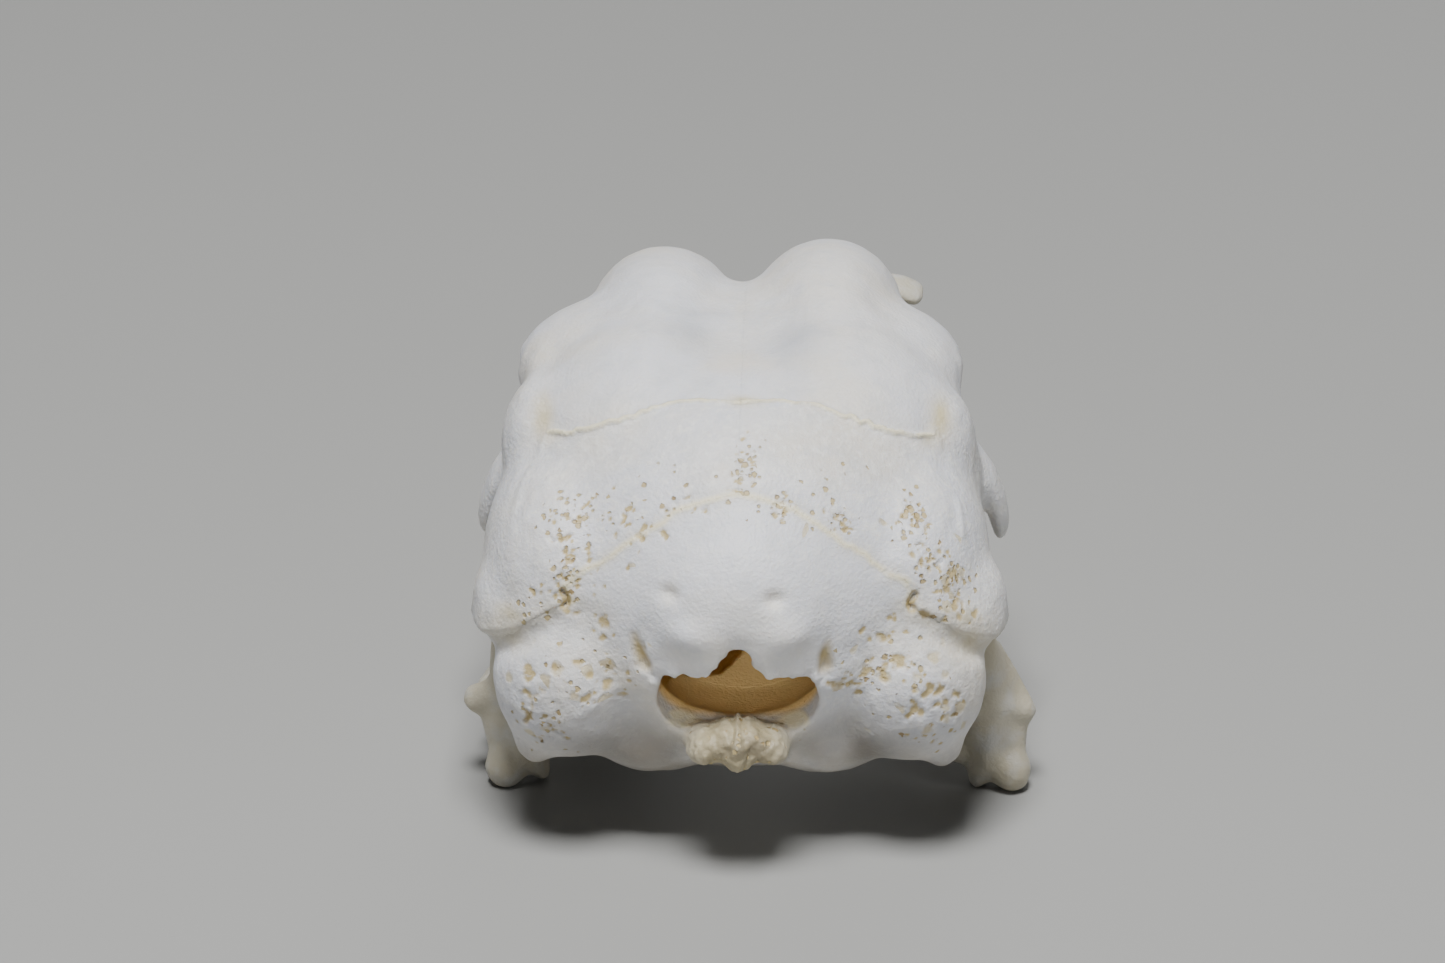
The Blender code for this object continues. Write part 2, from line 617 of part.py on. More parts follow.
def whole_cranium():
    """The braincase and forehead in one piece, hollow, with its sockets and openings."""
    masses = [ellipsoid(n, m) for n, m in CENTRE_MASSES.items()]
    for n, m in SIDE_MASSES.items():
        masses += pair(n, m)
    cranium = masses.pop(0)
    combine(cranium, masses, "UNION")
    fuse(cranium, FUSE_GRID, BLEND_PASSES)
    cutters = [foramen_cutter(), *pair("orbit", ORBIT), *pair("orbit_vault", ORBIT_VAULT)]
    cutters += [ellipsoid(n, m) for n, m in BRAIN_SPACES.items()]
    cutters += pair("ear_recess", EAR_RECESS) + pair("throat_recess", THROAT_RECESS)
    combine(cranium, cutters, "DIFFERENCE")
    details = [ellipsoid("condyle", CONDYLE_MASS), *pair("condyle_side", CONDYLE_SIDE_MASS)]
    details += pair("lobe_tip", LOBE_TIP_MASS)
    details += with_twin(bar("nuchal_rim", NUCHAL_RIM_PATH, NUCHAL_RIM_RADII))
    details += with_twin(rod("postorbital", POSTORBITAL_PATH, POSTORBITAL_HALVES, (0, 1, 0)))
    details += with_twin(rod("zygomatic", ZYGOMATIC_PATH, ZYGOMATIC_HALVES, (0, 1, 1)))
    combine(cranium, details, "UNION")
    grooves = with_twin(bar("nuchal_groove", NUCHAL_GROOVE_PATH, NUCHAL_GROOVE_RADII))
    grooves += with_twin(bar("lobe_groove", LOBE_GROOVE_PATH, LOBE_GROOVE_RADII))
    combine(cranium, grooves + pair("lobe_notch", LOBE_NOTCH), "DIFFERENCE")
    fuse(cranium, CARVE_GRID, SOFTEN_PASSES)
    cranium = keep_largest(cranium)
    trim = slab("front_trim", (-TRIM, FACE_BACK, 0), (TRIM, FACE_BACK + TRIM, TRIM))
    combine(cranium, [trim], "DIFFERENCE")
    thin_out(cranium, CRANIUM_TRIANGLES)
    cranium.name = "cranium"
    return cranium


def suture_wall(name, points, far):
    """A thin wall through a suture's points, along rays from the middle of the brain."""
    middle = Vector(BRAIN_MIDDLE)
    path = [point - middle for point in smooth_path(points, 3)]
    path[0] += (path[0] - path[1]).normalized() * GAP / 2
    path[-1] += (path[-1] - path[-2]).normalized() * GAP / 2
    bm = bmesh.new()
    rows = [[bm.verts.new((middle + ray * share) * MM) for share in (SUTURE_NEAR, far)] for ray in path]
    for low, high in zip(rows, rows[1:]):
        bm.faces.new((low[0], low[1], high[1], high[0]))
    wall = object_of(name, bm)
    thicken = wall.modifiers.new("thicken", "SOLIDIFY")
    thicken.thickness = GAP * MM
    thicken.offset = 0.0
    thicken.use_even_offset = True
    apply_modifiers(wall)
    return wall


def braincase_bones(cranium):
    """The bones of the braincase and forehead."""
    walls = [suture_wall(name, points, SUTURE_FAR) for name, points in MIDDLE_SUTURES.items()]
    walls.append(slab("brow_seam", *BROW_SEAM))
    for name, (points, far) in SIDE_SUTURES.items():
        walls += with_twin(suture_wall(name, points, far))
    return part(copy_of(cranium, "parted"), walls, BRAINCASE_SEEDS)


# The face, also modelled whole and then parted.


def face_ring(y, half_width, top, foot, count=24):
    """One arch of the face: rounded above and nearly flat below."""
    middle = foot + FACE_FOOT
    ring = []
    for k in range(count):
        c, s = cos(2 * pi * k / count), sin(2 * pi * k / count)
        height = top - middle if s > 0 else FACE_FOOT
        across = copysign(half_width * abs(c) ** FACE_WIDTH_POWER, c)
        ring.append((across, y, middle + copysign(height * abs(s) ** FACE_HEIGHT_POWER, s)))
    return ring


def face_windows():
    """The cutters of the nostrils and of the windows before the eyes, straight through both sides."""
    return [ellipsoid("nostril", NOSTRIL), ellipsoid("antorbital", ANTORBITAL)]


def whole_face():
    """The beak and nose in one piece, open below and behind, with nostrils and windows before the eyes."""
    face = loft("face", [face_ring(*station) for station in FACE_STATIONS])
    hollow = []
    for y, half_width, top, foot in FACE_STATIONS:
        if y < FACE_HOLLOW_END:
            hollow.append(face_ring(y, half_width - FACE_WALL, top - FACE_WALL, foot - FACE_HOLLOW_DROP))
    hollow[0] = [(x, y - FACE_HOLLOW_BACK, z) for x, y, z in hollow[0]]
    cutters = [loft("face_hollow", hollow), *face_windows()]
    cutters.append(slab("face_trim", (-TRIM, FACE_BACK - TRIM, -TRIM), (TRIM, FACE_BACK + GAP, TRIM)))
    combine(face, cutters, "DIFFERENCE")
    combine(face, with_twin(rod("maxilla_root", MAXILLA_PATH, MAXILLA_HALVES)), "UNION")
    return face


def face_bones(face):
    """The nasals, the maxillae and the premaxilla."""
    half, back, front, thin = PROCESS_HALF_WIDTH, PROCESS_BACK, NASAL_FRONT, GAP / 2
    walls = [
        slab("nasal_seam", (-thin, 0, 0), (thin, back, TRIM)),
        slab("process_back", (-half - thin, back - thin, 0), (half + thin, back + thin, TRIM)),
    ]
    low, high = (-TRIM, 0, MAXILLA_TOP - thin), (TRIM, MAXILLA_FRONT + thin, MAXILLA_TOP + thin)
    walls.append(slab("maxilla_top", low, high))
    low, high = (half - thin, back - thin, 0), (half + thin, front + thin, TRIM)
    walls += with_twin(slab("process_side", low, high))
    low, high = (half - thin, front - thin, NASAL_FRONT_FOOT), (TRIM, front + thin, TRIM)
    walls += with_twin(slab("nasal_front", low, high))
    low, high = (0, MAXILLA_FRONT - thin, 0), (TRIM, MAXILLA_FRONT + thin, MAXILLA_SEAM_TOP)
    walls += with_twin(slab("maxilla_front", low, high))
    return part(copy_of(face, "face_parted"), walls, FACE_SEEDS)


# The loose bones: each is cut back from the neighbours that it meets.


def rest_cut(thing):
    """Flattens a bone where it rests on the surface below."""
    combine(thing, [slab("rest", (-TRIM, -TRIM, -TRIM), (TRIM, FRONT_END + TRIM, 0))], "DIFFERENCE")


def sway(thing, pivot, degrees):
    """Turns a piece about the forward direction at a pivot in mm."""
    there = Matrix.Translation(Vector(pivot) * MM)
    turn = Matrix.Rotation(radians(degrees), 4, "Y")
    thing.data.transform(there @ turn @ there.inverted())


def whole_quadrate(name):
    """A quadrate at the right: a ridged body with two jaw knobs below, and bars to the ear and the orbit."""
    thing = bar(name, OTIC_PATH, OTIC_RADII)
    others = [ellipsoid(n, m) for n, m in QUADRATE_MASSES.items()]
    others.append(rod("orbital_process", ORBITAL_PATH, ORBITAL_HALVES, (0, 1, 1)))
    others.append(bar("back_ridge", BACK_RIDGE_PATH, BACK_RIDGE_RADII))
    others += [bar("cheek_ridge", path, radii) for path, radii in CHEEK_RIDGES[name]]
    combine(thing, others, "UNION")
    fuse(thing, FINE_GRID, SOFTEN_PASSES)
    thin_out(thing, FINE_TRIANGLES["quadrate"])
    return thing


def quadrates():
    """Both quadrates, each turned a little about its head in the socket of the ear, and set on the floor."""
    right = whole_quadrate("quadrate_right")
    left = whole_quadrate("quadrate_left")
    flipped = mirrored(left, "flipped")
    bpy.data.objects.remove(left)
    flipped.name = "quadrate_left"
    x, y, z = QUADRATE_PIVOT
    sway(right, (x, y, z), QUADRATE_SWAY)
    sway(flipped, (-x, y, z), QUADRATE_SWAY)
    for thing in (right, flipped):
        lowest = min(v.co.z for v in thing.data.vertices)
        thing.data.transform(Matrix.Translation((0, 0, -lowest - REST_DEPTH * MM)))
    return right, flipped


def jugals(face):
    """Both jugal bars, from the maxilla back to a small knob that meets the quadrate's cheek knob."""
    found = []
    for side in (1, -1):
        last = len(JUGAL_PATH) - 1
        path = [(side * x + JUGAL_SWAY * i / last, y, z) for i, (x, y, z) in enumerate(JUGAL_PATH)]
        thing = bar("jugal_right" if side > 0 else "jugal_left", path, JUGAL_RADII)
        x, y, z = JUGAL_KNOB
        knob = ellipsoid("jugal_knob", ((side * x + JUGAL_SWAY, y, z), JUGAL_KNOB_RADII, (0, 0, 0)))
        combine(thing, [knob], "UNION")
        found.append(clear_of(thing, [face]))
    return found


def septum_of(cranium, face):
    """The plate between the eyes with the rostrum along its foot."""
    thing = plate("interorbital_septum", SEPTUM_OUTLINE, SEPTUM_THICKNESS)
    combine(thing, [bar("rostrum", ROSTRUM_PATH, ROSTRUM_RADII)], "UNION")
    combine(thing, [ellipsoid("septum_window", SEPTUM_WINDOW)], "DIFFERENCE")
    return clear_of(thing, [cranium, face])


def palate_bones(cranium, face, septum, hinges):
    """The pterygoids, palatines and vomer under the septum."""
    pterygoid = bar("pterygoid_right", PTERYGOID_PATH, PTERYGOID_RADII)
    palatine = rod("palatine_right", PALATINE_PATH, PALATINE_HALVES)
    lefts = (mirrored(pterygoid, "pterygoid_left"), mirrored(palatine, "palatine_left"))
    found = []
    for hinge, (wing, blade) in zip(hinges, ((pterygoid, palatine), lefts)):
        wing = clear_of(wing, [cranium, septum, hinge])
        found += [wing, clear_of(blade, [wing, septum, face])]
    vomer = rod("vomer", VOMER_PATH, VOMER_HALVES)
    found.append(clear_of(vomer, [septum, *found]))
    return found


def lacrimals(cranium, face):
    """Both lacrimals: a small shelf before the brow, with a thin foot down."""
    right = rod("lacrimal_right", LACRIMAL_PATH, LACRIMAL_HALVES, (0, 0, 1))
    combine(right, [bar("lacrimal_foot", LACRIMAL_FOOT_PATH, LACRIMAL_FOOT_RADII)], "UNION")
    left = mirrored(right, "lacrimal_left")
    left.data.transform(Matrix.Translation(Vector(LACRIMAL_LEFT_SHIFT) * MM))
    return [clear_of(thing, [cranium, face]) for thing in (right, left)]


def plain_name(name):
    """A bone's name without its side."""
    return name.rsplit("_", 1)[0] if name.endswith(("_right", "_left")) else name


def finish_of(name):
    """The colour and roughness of a bone, by its node's name."""
    plain = plain_name(name)
    if plain in BEIGE_NODES:
        return BEIGE_BONE
    return CREAM_BONE if plain in CREAM_NODES else WHITE_BONE


def bone_material(name):
    """A material of its own for a bone."""
    colour, roughness = finish_of(name)
    material = bpy.data.materials.new(name)
    material.use_nodes = True
    shader = material.node_tree.nodes["Principled BSDF"]
    shader.inputs["Base Color"].default_value = (*colour, 1.0)
    shader.inputs["Roughness"].default_value = roughness
    shader.inputs["Metallic"].default_value = 0.0
    return material


def middle_of(things):
    """The middle of the box around objects whose meshes are in the skull's frame."""
    corners = [v.co for thing in things for v in thing.data.vertices]
    low = Vector([min(c[i] for c in corners) for i in range(3)])
    high = Vector([max(c[i] for c in corners) for i in range(3)])
    return (low + high) / 2


def set_in_place(thing, root):
    """Puts a bone's origin at its middle, gives it its looks and ties it to the root."""
    middle = middle_of([thing])
    thing.data.transform(Matrix.Translation(-middle))
    thing.data.name = thing.name
    thing.data.materials.clear()
    thing.data.materials.append(bone_material(thing.name))
    thing.data.shade_smooth()
    thing.data.set_sharp_from_angle(angle=radians(SHARP_ANGLE))
    bpy.data.collections[SKULL].objects.link(thing)
    bpy.data.collections[WORK].objects.unlink(thing)
    thing.location = middle
    thing.parent = root


def main():
    """Builds the skull."""
    remove_all()
    new_collection(WORK)
    skull = new_collection(SKULL)
    cranium = whole_cranium()
    face = whole_face()
    bars = jugals(face)
    hinges = [clear_of(hinge, [cranium, near]) for hinge, near in zip(quadrates(), bars)]
    septum = septum_of(cranium, face)
    bones = [*hinges, *bars, septum, *lacrimals(cranium, face)]
    bones += palate_bones(cranium, face, septum, hinges)
    bones += braincase_bones(cranium) + face_bones(face)
    for whole in (cranium, face):
        bpy.data.objects.remove(whole)
    for bone in bones:
        if plain_name(bone.name) in FINE_TRIANGLES:
            thin_out(bone, FINE_TRIANGLES[plain_name(bone.name)])
        if plain_name(bone.name) in RESTING_NODES:
            rest_cut(bone)
    middle = middle_of(bones)
    root = bpy.data.objects.new("skull_root", None)
    skull.objects.link(root)
    root.location = (-middle.x, -middle.y, 0.0)
    for bone in bones:
        set_in_place(bone, root)
    bpy.data.collections.remove(bpy.data.collections[WORK])


if __name__ == "__main__":
    main()
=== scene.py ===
"""Looks of a young chicken's skull, bone by bone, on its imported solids.

Lengths are millimetres in the skull's own frame: across from the middle plane, forward from the back of the
head, and up from the floor. The braincase is closed, hollow and pierced by sockets, which no single grid can
give, so it is made fine from its own solids, gets its relief as whole arrays, and is parted again along its
sutures. The thin bars are profiles carried along paths.
"""

import sys

import json
import logging
import math
from dataclasses import dataclass, field
from enum import Enum
from functools import partial
from typing import Any, Iterable, Sequence

import bmesh
import bpy
import numpy as np
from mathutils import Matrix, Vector

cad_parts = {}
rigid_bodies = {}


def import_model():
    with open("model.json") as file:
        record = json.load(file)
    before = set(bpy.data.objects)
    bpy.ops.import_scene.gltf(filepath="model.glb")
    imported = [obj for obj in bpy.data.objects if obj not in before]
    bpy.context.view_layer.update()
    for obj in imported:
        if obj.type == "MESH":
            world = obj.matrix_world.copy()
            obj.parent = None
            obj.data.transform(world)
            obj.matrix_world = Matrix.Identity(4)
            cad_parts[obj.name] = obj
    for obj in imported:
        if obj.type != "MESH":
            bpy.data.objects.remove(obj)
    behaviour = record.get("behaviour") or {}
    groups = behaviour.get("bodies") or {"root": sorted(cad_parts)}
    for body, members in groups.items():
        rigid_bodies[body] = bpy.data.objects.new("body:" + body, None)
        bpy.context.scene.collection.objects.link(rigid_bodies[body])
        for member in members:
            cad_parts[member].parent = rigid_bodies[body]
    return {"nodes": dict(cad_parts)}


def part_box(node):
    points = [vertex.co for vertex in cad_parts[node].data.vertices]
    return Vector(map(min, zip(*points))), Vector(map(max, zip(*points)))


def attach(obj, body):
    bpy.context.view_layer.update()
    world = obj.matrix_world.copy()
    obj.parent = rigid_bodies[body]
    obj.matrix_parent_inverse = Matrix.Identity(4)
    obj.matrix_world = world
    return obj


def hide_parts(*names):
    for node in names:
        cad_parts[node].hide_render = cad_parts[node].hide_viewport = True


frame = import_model()

LOG = logging.getLogger("skull")
MM = 0.001
FRONT_END = 63.9
CURVE_STEPS = 24
FEWEST_SAMPLES = 4
PLACE_PRIMES = (73856093, 19349663, 83492791)
SEED_PRIME = 2654435761
MIXES = ((15, 2246822519), (13, 3266489917))
LOW_BITS = 0xFFFFFFFF
Piece = bpy.types.Object
Array = np.ndarray
Material = bpy.types.Material
Pair = tuple[float, float]
Point = tuple[float, float, float]
Ball = tuple[Point, Point]
Grains = tuple[tuple[float, float, int], ...]


class Where(Enum):
    """On which sides a form given for the right side stands. One on the middle plane counts as right."""

    RIGHT = (1,)
    LEFT = (-1,)
    BOTH = (1, -1)

    def mirror(self, points: Any) -> list[Array]:
        """The points as they lie on each of these sides."""
        return [np.array(points) * (sign, 1, 1) for sign in self.value]


RIGHT, LEFT, BOTH = Where


class Layer(Enum):
    """The layers that a piece carries for its finish, one number for each corner."""

    STAIN = "stain"
    SMUDGE = "smudge"
    PORES = "pores"
    CELLS = "cells"
    PIT = "pit"
    # golden lining of the brain's spaces: partly the bone's tint, partly painted light shining through the
    # thin vault
    INNER = "inner"
    KNOB = "knob"
    SEAM = "seam"
    COARSE = "coarse"
    # painted shade, grey-brown, under the skull and around the knob
    GRIME = "grime"


# Arrays and meshes.


def skull_shift() -> Array:
    """How far the skull's own frame lies from the model's, in mm: the beak gives its middle and front end."""
    low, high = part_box("premaxilla")
    return np.array([(low[0] + high[0]) / 2 / MM, high[1] / MM - FRONT_END, 0.0])


SHIFT = skull_shift()


def to_model(points: Any) -> Array:
    """Points of the skull's frame in mm as points of the model in metres."""
    return (np.asarray(points, dtype=float) + SHIFT) * MM


def to_skull(points: Array) -> Array:
    """Points of the model in metres as points of the skull's frame in mm."""
    return points / MM - SHIFT


def corners_of(thing: Piece, what: str = "co") -> Array:
    """The places of a piece's corners in the model, or else their normals.

    Args:
        thing: the piece.
        what: the name of what is read.

    Returns:
        One row for each corner.
    """
    flat = np.empty(len(thing.data.vertices) * 3)
    thing.data.vertices.foreach_get(what, flat)
    return flat.reshape(-1, 3)


def set_vertices(thing: Piece, points: Array) -> None:
    """Moves all corners of a piece to the given model points."""
    thing.data.vertices.foreach_set("co", points.ravel())
    thing.data.update()


def set_layer(thing: Piece, layer: Layer, values: Array | float) -> None:
    """Stores a layer for the finish, one number for each corner or one for all, kept between 0 and 1."""
    full = np.broadcast_to(np.clip(values, 0.0, 1.0), len(thing.data.vertices)).astype(np.float32)
    thing.data.attributes.new(layer.value, "FLOAT", "POINT").data.foreach_set("value", full)


def object_of(name: str, data: Any) -> Piece:
    """A new object in the scene's collection.

    Args:
        name: its name.
        data: its mesh, lamp or lens.

    Returns:
        The object.
    """
    thing = bpy.data.objects.new(name, data)
    bpy.context.scene.collection.objects.link(thing)
    return thing


def lengths(rows: Array) -> Array:
    """The length of each row."""
    return np.linalg.norm(rows, axis=1)


def run_along(path: Array) -> Array:
    """How far along a path each of its points lies."""
    return np.concatenate([[0.0], np.cumsum(lengths(np.diff(path, axis=0)))])


def folded(points: Array) -> Array:
    """The points, with those of the left side mirrored to the right."""
    return np.column_stack([np.abs(points[:, 0]), points[:, 1:]])


def smoothstep(low: float, high: float, values: Array) -> Array:
    """0 up to low, 1 from high on, and t * t * (3 - 2 * t) between."""
    t = np.clip((values - low) / (high - low), 0.0, 1.0)
    return t * t * (3.0 - 2.0 * t)


def spans(points: Array, centre: Point, radii: Point) -> Array:
    """How far each place is from a middle, as a share of the radii there."""
    return lengths((points - np.asarray(centre)) / np.asarray(radii))


def bell(points: Array, centre: Point, radii: Point) -> Array:
    """A soft round patch: exp(-d^2), with d the distance from its middle as a share of its radii."""
    return np.exp(-(spans(points, centre, radii) ** 2))


def grain(points: Array, size: float, seed: int) -> Array:
    """A smooth random field between -1 and 1: numbers hashed from a cubic grid's corners, in soft blends.

    Args:
        points: places in mm.
        size: the grid's pitch in mm.
        seed: picks the field.

    Returns:
        One value for each point.
    """
    cell = np.floor(points / size).astype(np.int64)
    part = points / size - cell
    part = part * part * (3.0 - 2.0 * part)
    total = np.zeros(len(points))
    for corner in range(8):
        step = np.array([corner & 1, corner >> 1 & 1, corner >> 2 & 1])
        mixed = np.bitwise_xor.reduce((cell + step) * PLACE_PRIMES, axis=1) ^ seed * SEED_PRIME
        for shift, mixer in MIXES:
            mixed = (mixed ^ mixed >> shift) * mixer & LOW_BITS
        number = (mixed >> 8 & 0xFFFF) / 32767.5 - 1.0
        total += number * np.prod(np.where(step == 1, part, 1.0 - part), axis=1)
    return total


def grains(points: Array, layers: Grains, start: Array | float = 0.0) -> Array:
    """A sum of grains on top of a start, each as its height, its pitch in mm and its seed."""
    return sum((height * grain(points, size, seed) for height, size, seed in layers), start)


def curve_through(points: Sequence[Sequence[float]], spacing: float) -> Array:
    """A smooth curve through points, sampled evenly.

    Between knots b and c, with a and d beyond them, it is the Catmull-Rom cubic
    (2b + (c - a) t + (2a - 5b + 4c - d) t^2 + (3b - a - 3c + d) t^3) / 2.

    Args:
        points: the knots, rows that start with a place in mm.
        spacing: the distance between samples in mm.

    Returns:
        The samples, one a row.
    """
    knots = np.asarray(points, dtype=float)
    knots = np.vstack([2 * knots[0] - knots[1], knots, 2 * knots[-1] - knots[-2]])
    a, b, c, d = (knots[i : len(knots) - 3 + i, None] for i in range(4))
    t = np.linspace(0.0, 1.0, CURVE_STEPS, endpoint=False)[None, :, None]
    bends = (2 * a - 5 * b + 4 * c - d) * t**2 + (3 * b - a - 3 * c + d) * t**3
    dense = np.vstack([(0.5 * (2 * b + (c - a) * t + bends)).reshape(-1, knots.shape[1]), knots[-2]])
    run = run_along(dense[:, :3])
    places = np.linspace(0.0, run[-1], max(int(run[-1] / spacing) + 1, FEWEST_SAMPLES))
    return np.stack([np.interp(places, run, column) for column in dense.T], axis=1)


class PointBins:
    """Points sorted into cubes, so that those near a place are found at once."""

    ACROSS = 8192

    def __init__(self, points: Array, pitch: float) -> None:
        """Sorts the points.

        Args:
            points: the points.
            pitch: the cubes' side, the furthest reach of a search.
        """
        self.pitch = pitch
        keys = self._keys(np.floor(points / pitch).astype(np.int64))
        self.order = np.argsort(keys, kind="stable")
        self.keys = keys[self.order]
        self.around = np.indices((3, 3, 3)).reshape(3, -1).T - 1

    def _keys(self, cells: Array) -> Array:
        """One whole number for each cube."""
        high = cells + self.ACROSS // 2
        return (high[:, 0] * self.ACROSS + high[:, 1]) * self.ACROSS + high[:, 2]

    def near(self, place: Array) -> Array:
        """Which points lie in the cubes around a place.

        Args:
            place: one point.

        Returns:
            The indices of those points.
        """
        keys = self._keys(np.floor(place / self.pitch).astype(np.int64) + self.around)
        ends = [np.searchsorted(self.keys, keys, side) for side in ("left", "right")]
        return np.concatenate([self.order[a:b] for a, b in zip(*ends)])


def tube_mesh(name: str, rings: Array) -> Piece:
    """A closed tube of a grid of points, with a cap over each end, facing out.

    Args:
        name: the object's name.
        rings: model points, shaped (rings, corners of a ring, 3).

    Returns:
        The new object.
    """
    count, sides = rings.shape[:2]
    corners = np.arange(count * sides).reshape(count, sides)
    low, high = corners[:-1], corners[1:]
    quads = np.stack([low, np.roll(low, -1, axis=1), np.roll(high, -1, axis=1), high], axis=-1)
    faces = [*quads.reshape(-1, 4).tolist(), corners[0][::-1].tolist(), corners[-1].tolist()]
    mesh = bpy.data.meshes.new(name)
    mesh.from_pydata(rings.reshape(-1, 3), [], faces)
    bm = bmesh.new()
    bm.from_mesh(mesh)
    bmesh.ops.recalc_face_normals(bm, faces=bm.faces)
    bm.to_mesh(mesh)
    bm.free()
    return object_of(name, mesh)


def modify(thing: Piece, kind: str, **settings: Any) -> None:
    """Puts a modifier on a piece and makes the outcome its own mesh.

    Args:
        thing: the piece.
        kind: the modifier's type.
        settings: the values of its properties.
    """
    made = thing.modifiers.new(kind, kind)
    for key, value in settings.items():
        setattr(made, key, value)
    mesh = bpy.data.meshes.new_from_object(thing.evaluated_get(bpy.context.evaluated_depsgraph_get()))
    thing.modifiers.clear()
    thing.data = mesh


def reskin(thing: Piece, pitch: float) -> None:
    """Gives a closed body an even skin of squares, with that many mm to a side."""
    modify(thing, "REMESH", mode="VOXEL", voxel_size=pitch * MM)


def relax(thing: Piece, passes: int, limit: Array | float) -> None:
    """Relaxes a skin but keeps crisp forms: a move m becomes m * min(1, limit / |m|).

    Args:
        thing: the body.
        passes: how often each corner goes half way to its neighbours' mean.
        limit: the longest move in mm, for all or for each corner.
    """
    before = corners_of(thing)
    modify(thing, "SMOOTH", factor=0.5, iterations=passes)
    move = corners_of(thing) - before
    length = np.maximum(lengths(move), 1e-12)
    share = np.minimum(1.0, np.asarray(limit) * MM / length)
    set_vertices(thing, before + move * share[:, None])


def swell(thing: Piece, by: Array | float) -> None:
    """Moves each corner of a piece out along its normal by that many mm, one number or one for each."""
    amount = np.broadcast_to(np.asarray(by, dtype=float) * MM, len(thing.data.vertices))
    set_vertices(thing, corners_of(thing) + corners_of(thing, "normal") * amount[:, None])


def stock_of(name: str, nodes: Iterable[str]) -> Piece:
    """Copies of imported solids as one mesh, with their loose triangles merged.

    Args:
        name: the object's name.
        nodes: the solids' names.

    Returns:
        The new object.
    """
    bm = bmesh.new()
    for node in nodes:
        bm.from_mesh(frame["nodes"][node].data)
    bmesh.ops.remove_doubles(bm, verts=bm.verts, dist=1e-7)
    mesh = bpy.data.meshes.new(name)
    bm.to_mesh(mesh)
    bm.free()
    return object_of(name, mesh)


def paired(name: str) -> tuple[str, str]:
    """The nodes of a paired bone, the right one first."""
    return name + "_right", name + "_left"


def keep_in_box(bone: Piece, nodes: Iterable[str]) -> None:
    """Puts corners that stick out of their solids' common box back on its sides."""
    corners = np.array([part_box(node) for node in nodes])
    set_vertices(bone, np.clip(corners_of(bone), corners[:, 0].min(axis=0), corners[:, 1].max(axis=0)))


def hand_in(piece: Piece, node: str, finish: Material) -> None:
    """Gives a piece its finish and its place in the model, and hides the solid that it replaces.

    Args:
        piece: the finished piece.
        node: the solid that it replaces.
        finish: its material.
    """
    piece.data.materials.clear()
    piece.data.materials.append(finish)
    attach(piece, "root")
    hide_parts(node)


# Finishes.


def linear(code: str) -> tuple[float, float, float, float]:
    """A colour of the screen, as #RRGGBB, turned to linear light."""
    parts = [int(code[i : i + 2], 16) / 255 for i in (1, 3, 5)]
    return (*[p / 12.92 if p <= 0.04045 else ((p + 0.055) / 1.055) ** 2.4 for p in parts], 1.0)


def add_node(tree: bpy.types.NodeTree, kind: str, inputs: dict, **settings: Any) -> Any:
    """Adds a node with its settings and links.

    Args:
        tree: the tree.
        kind: the node's type, after ShaderNode.
        inputs: for each input, its value or the socket that feeds it.
        settings: the values of its properties.

    Returns:
        Its outputs.
    """
    node = tree.nodes.new("ShaderNode" + kind)
    for key, value in settings.items():
        setattr(node, key, value)
    for key, value in inputs.items():
        if isinstance(value, bpy.types.NodeSocket):
            tree.links.new(value, node.inputs[key])
        else:
            node.inputs[key].default_value = value
    return node.outputs


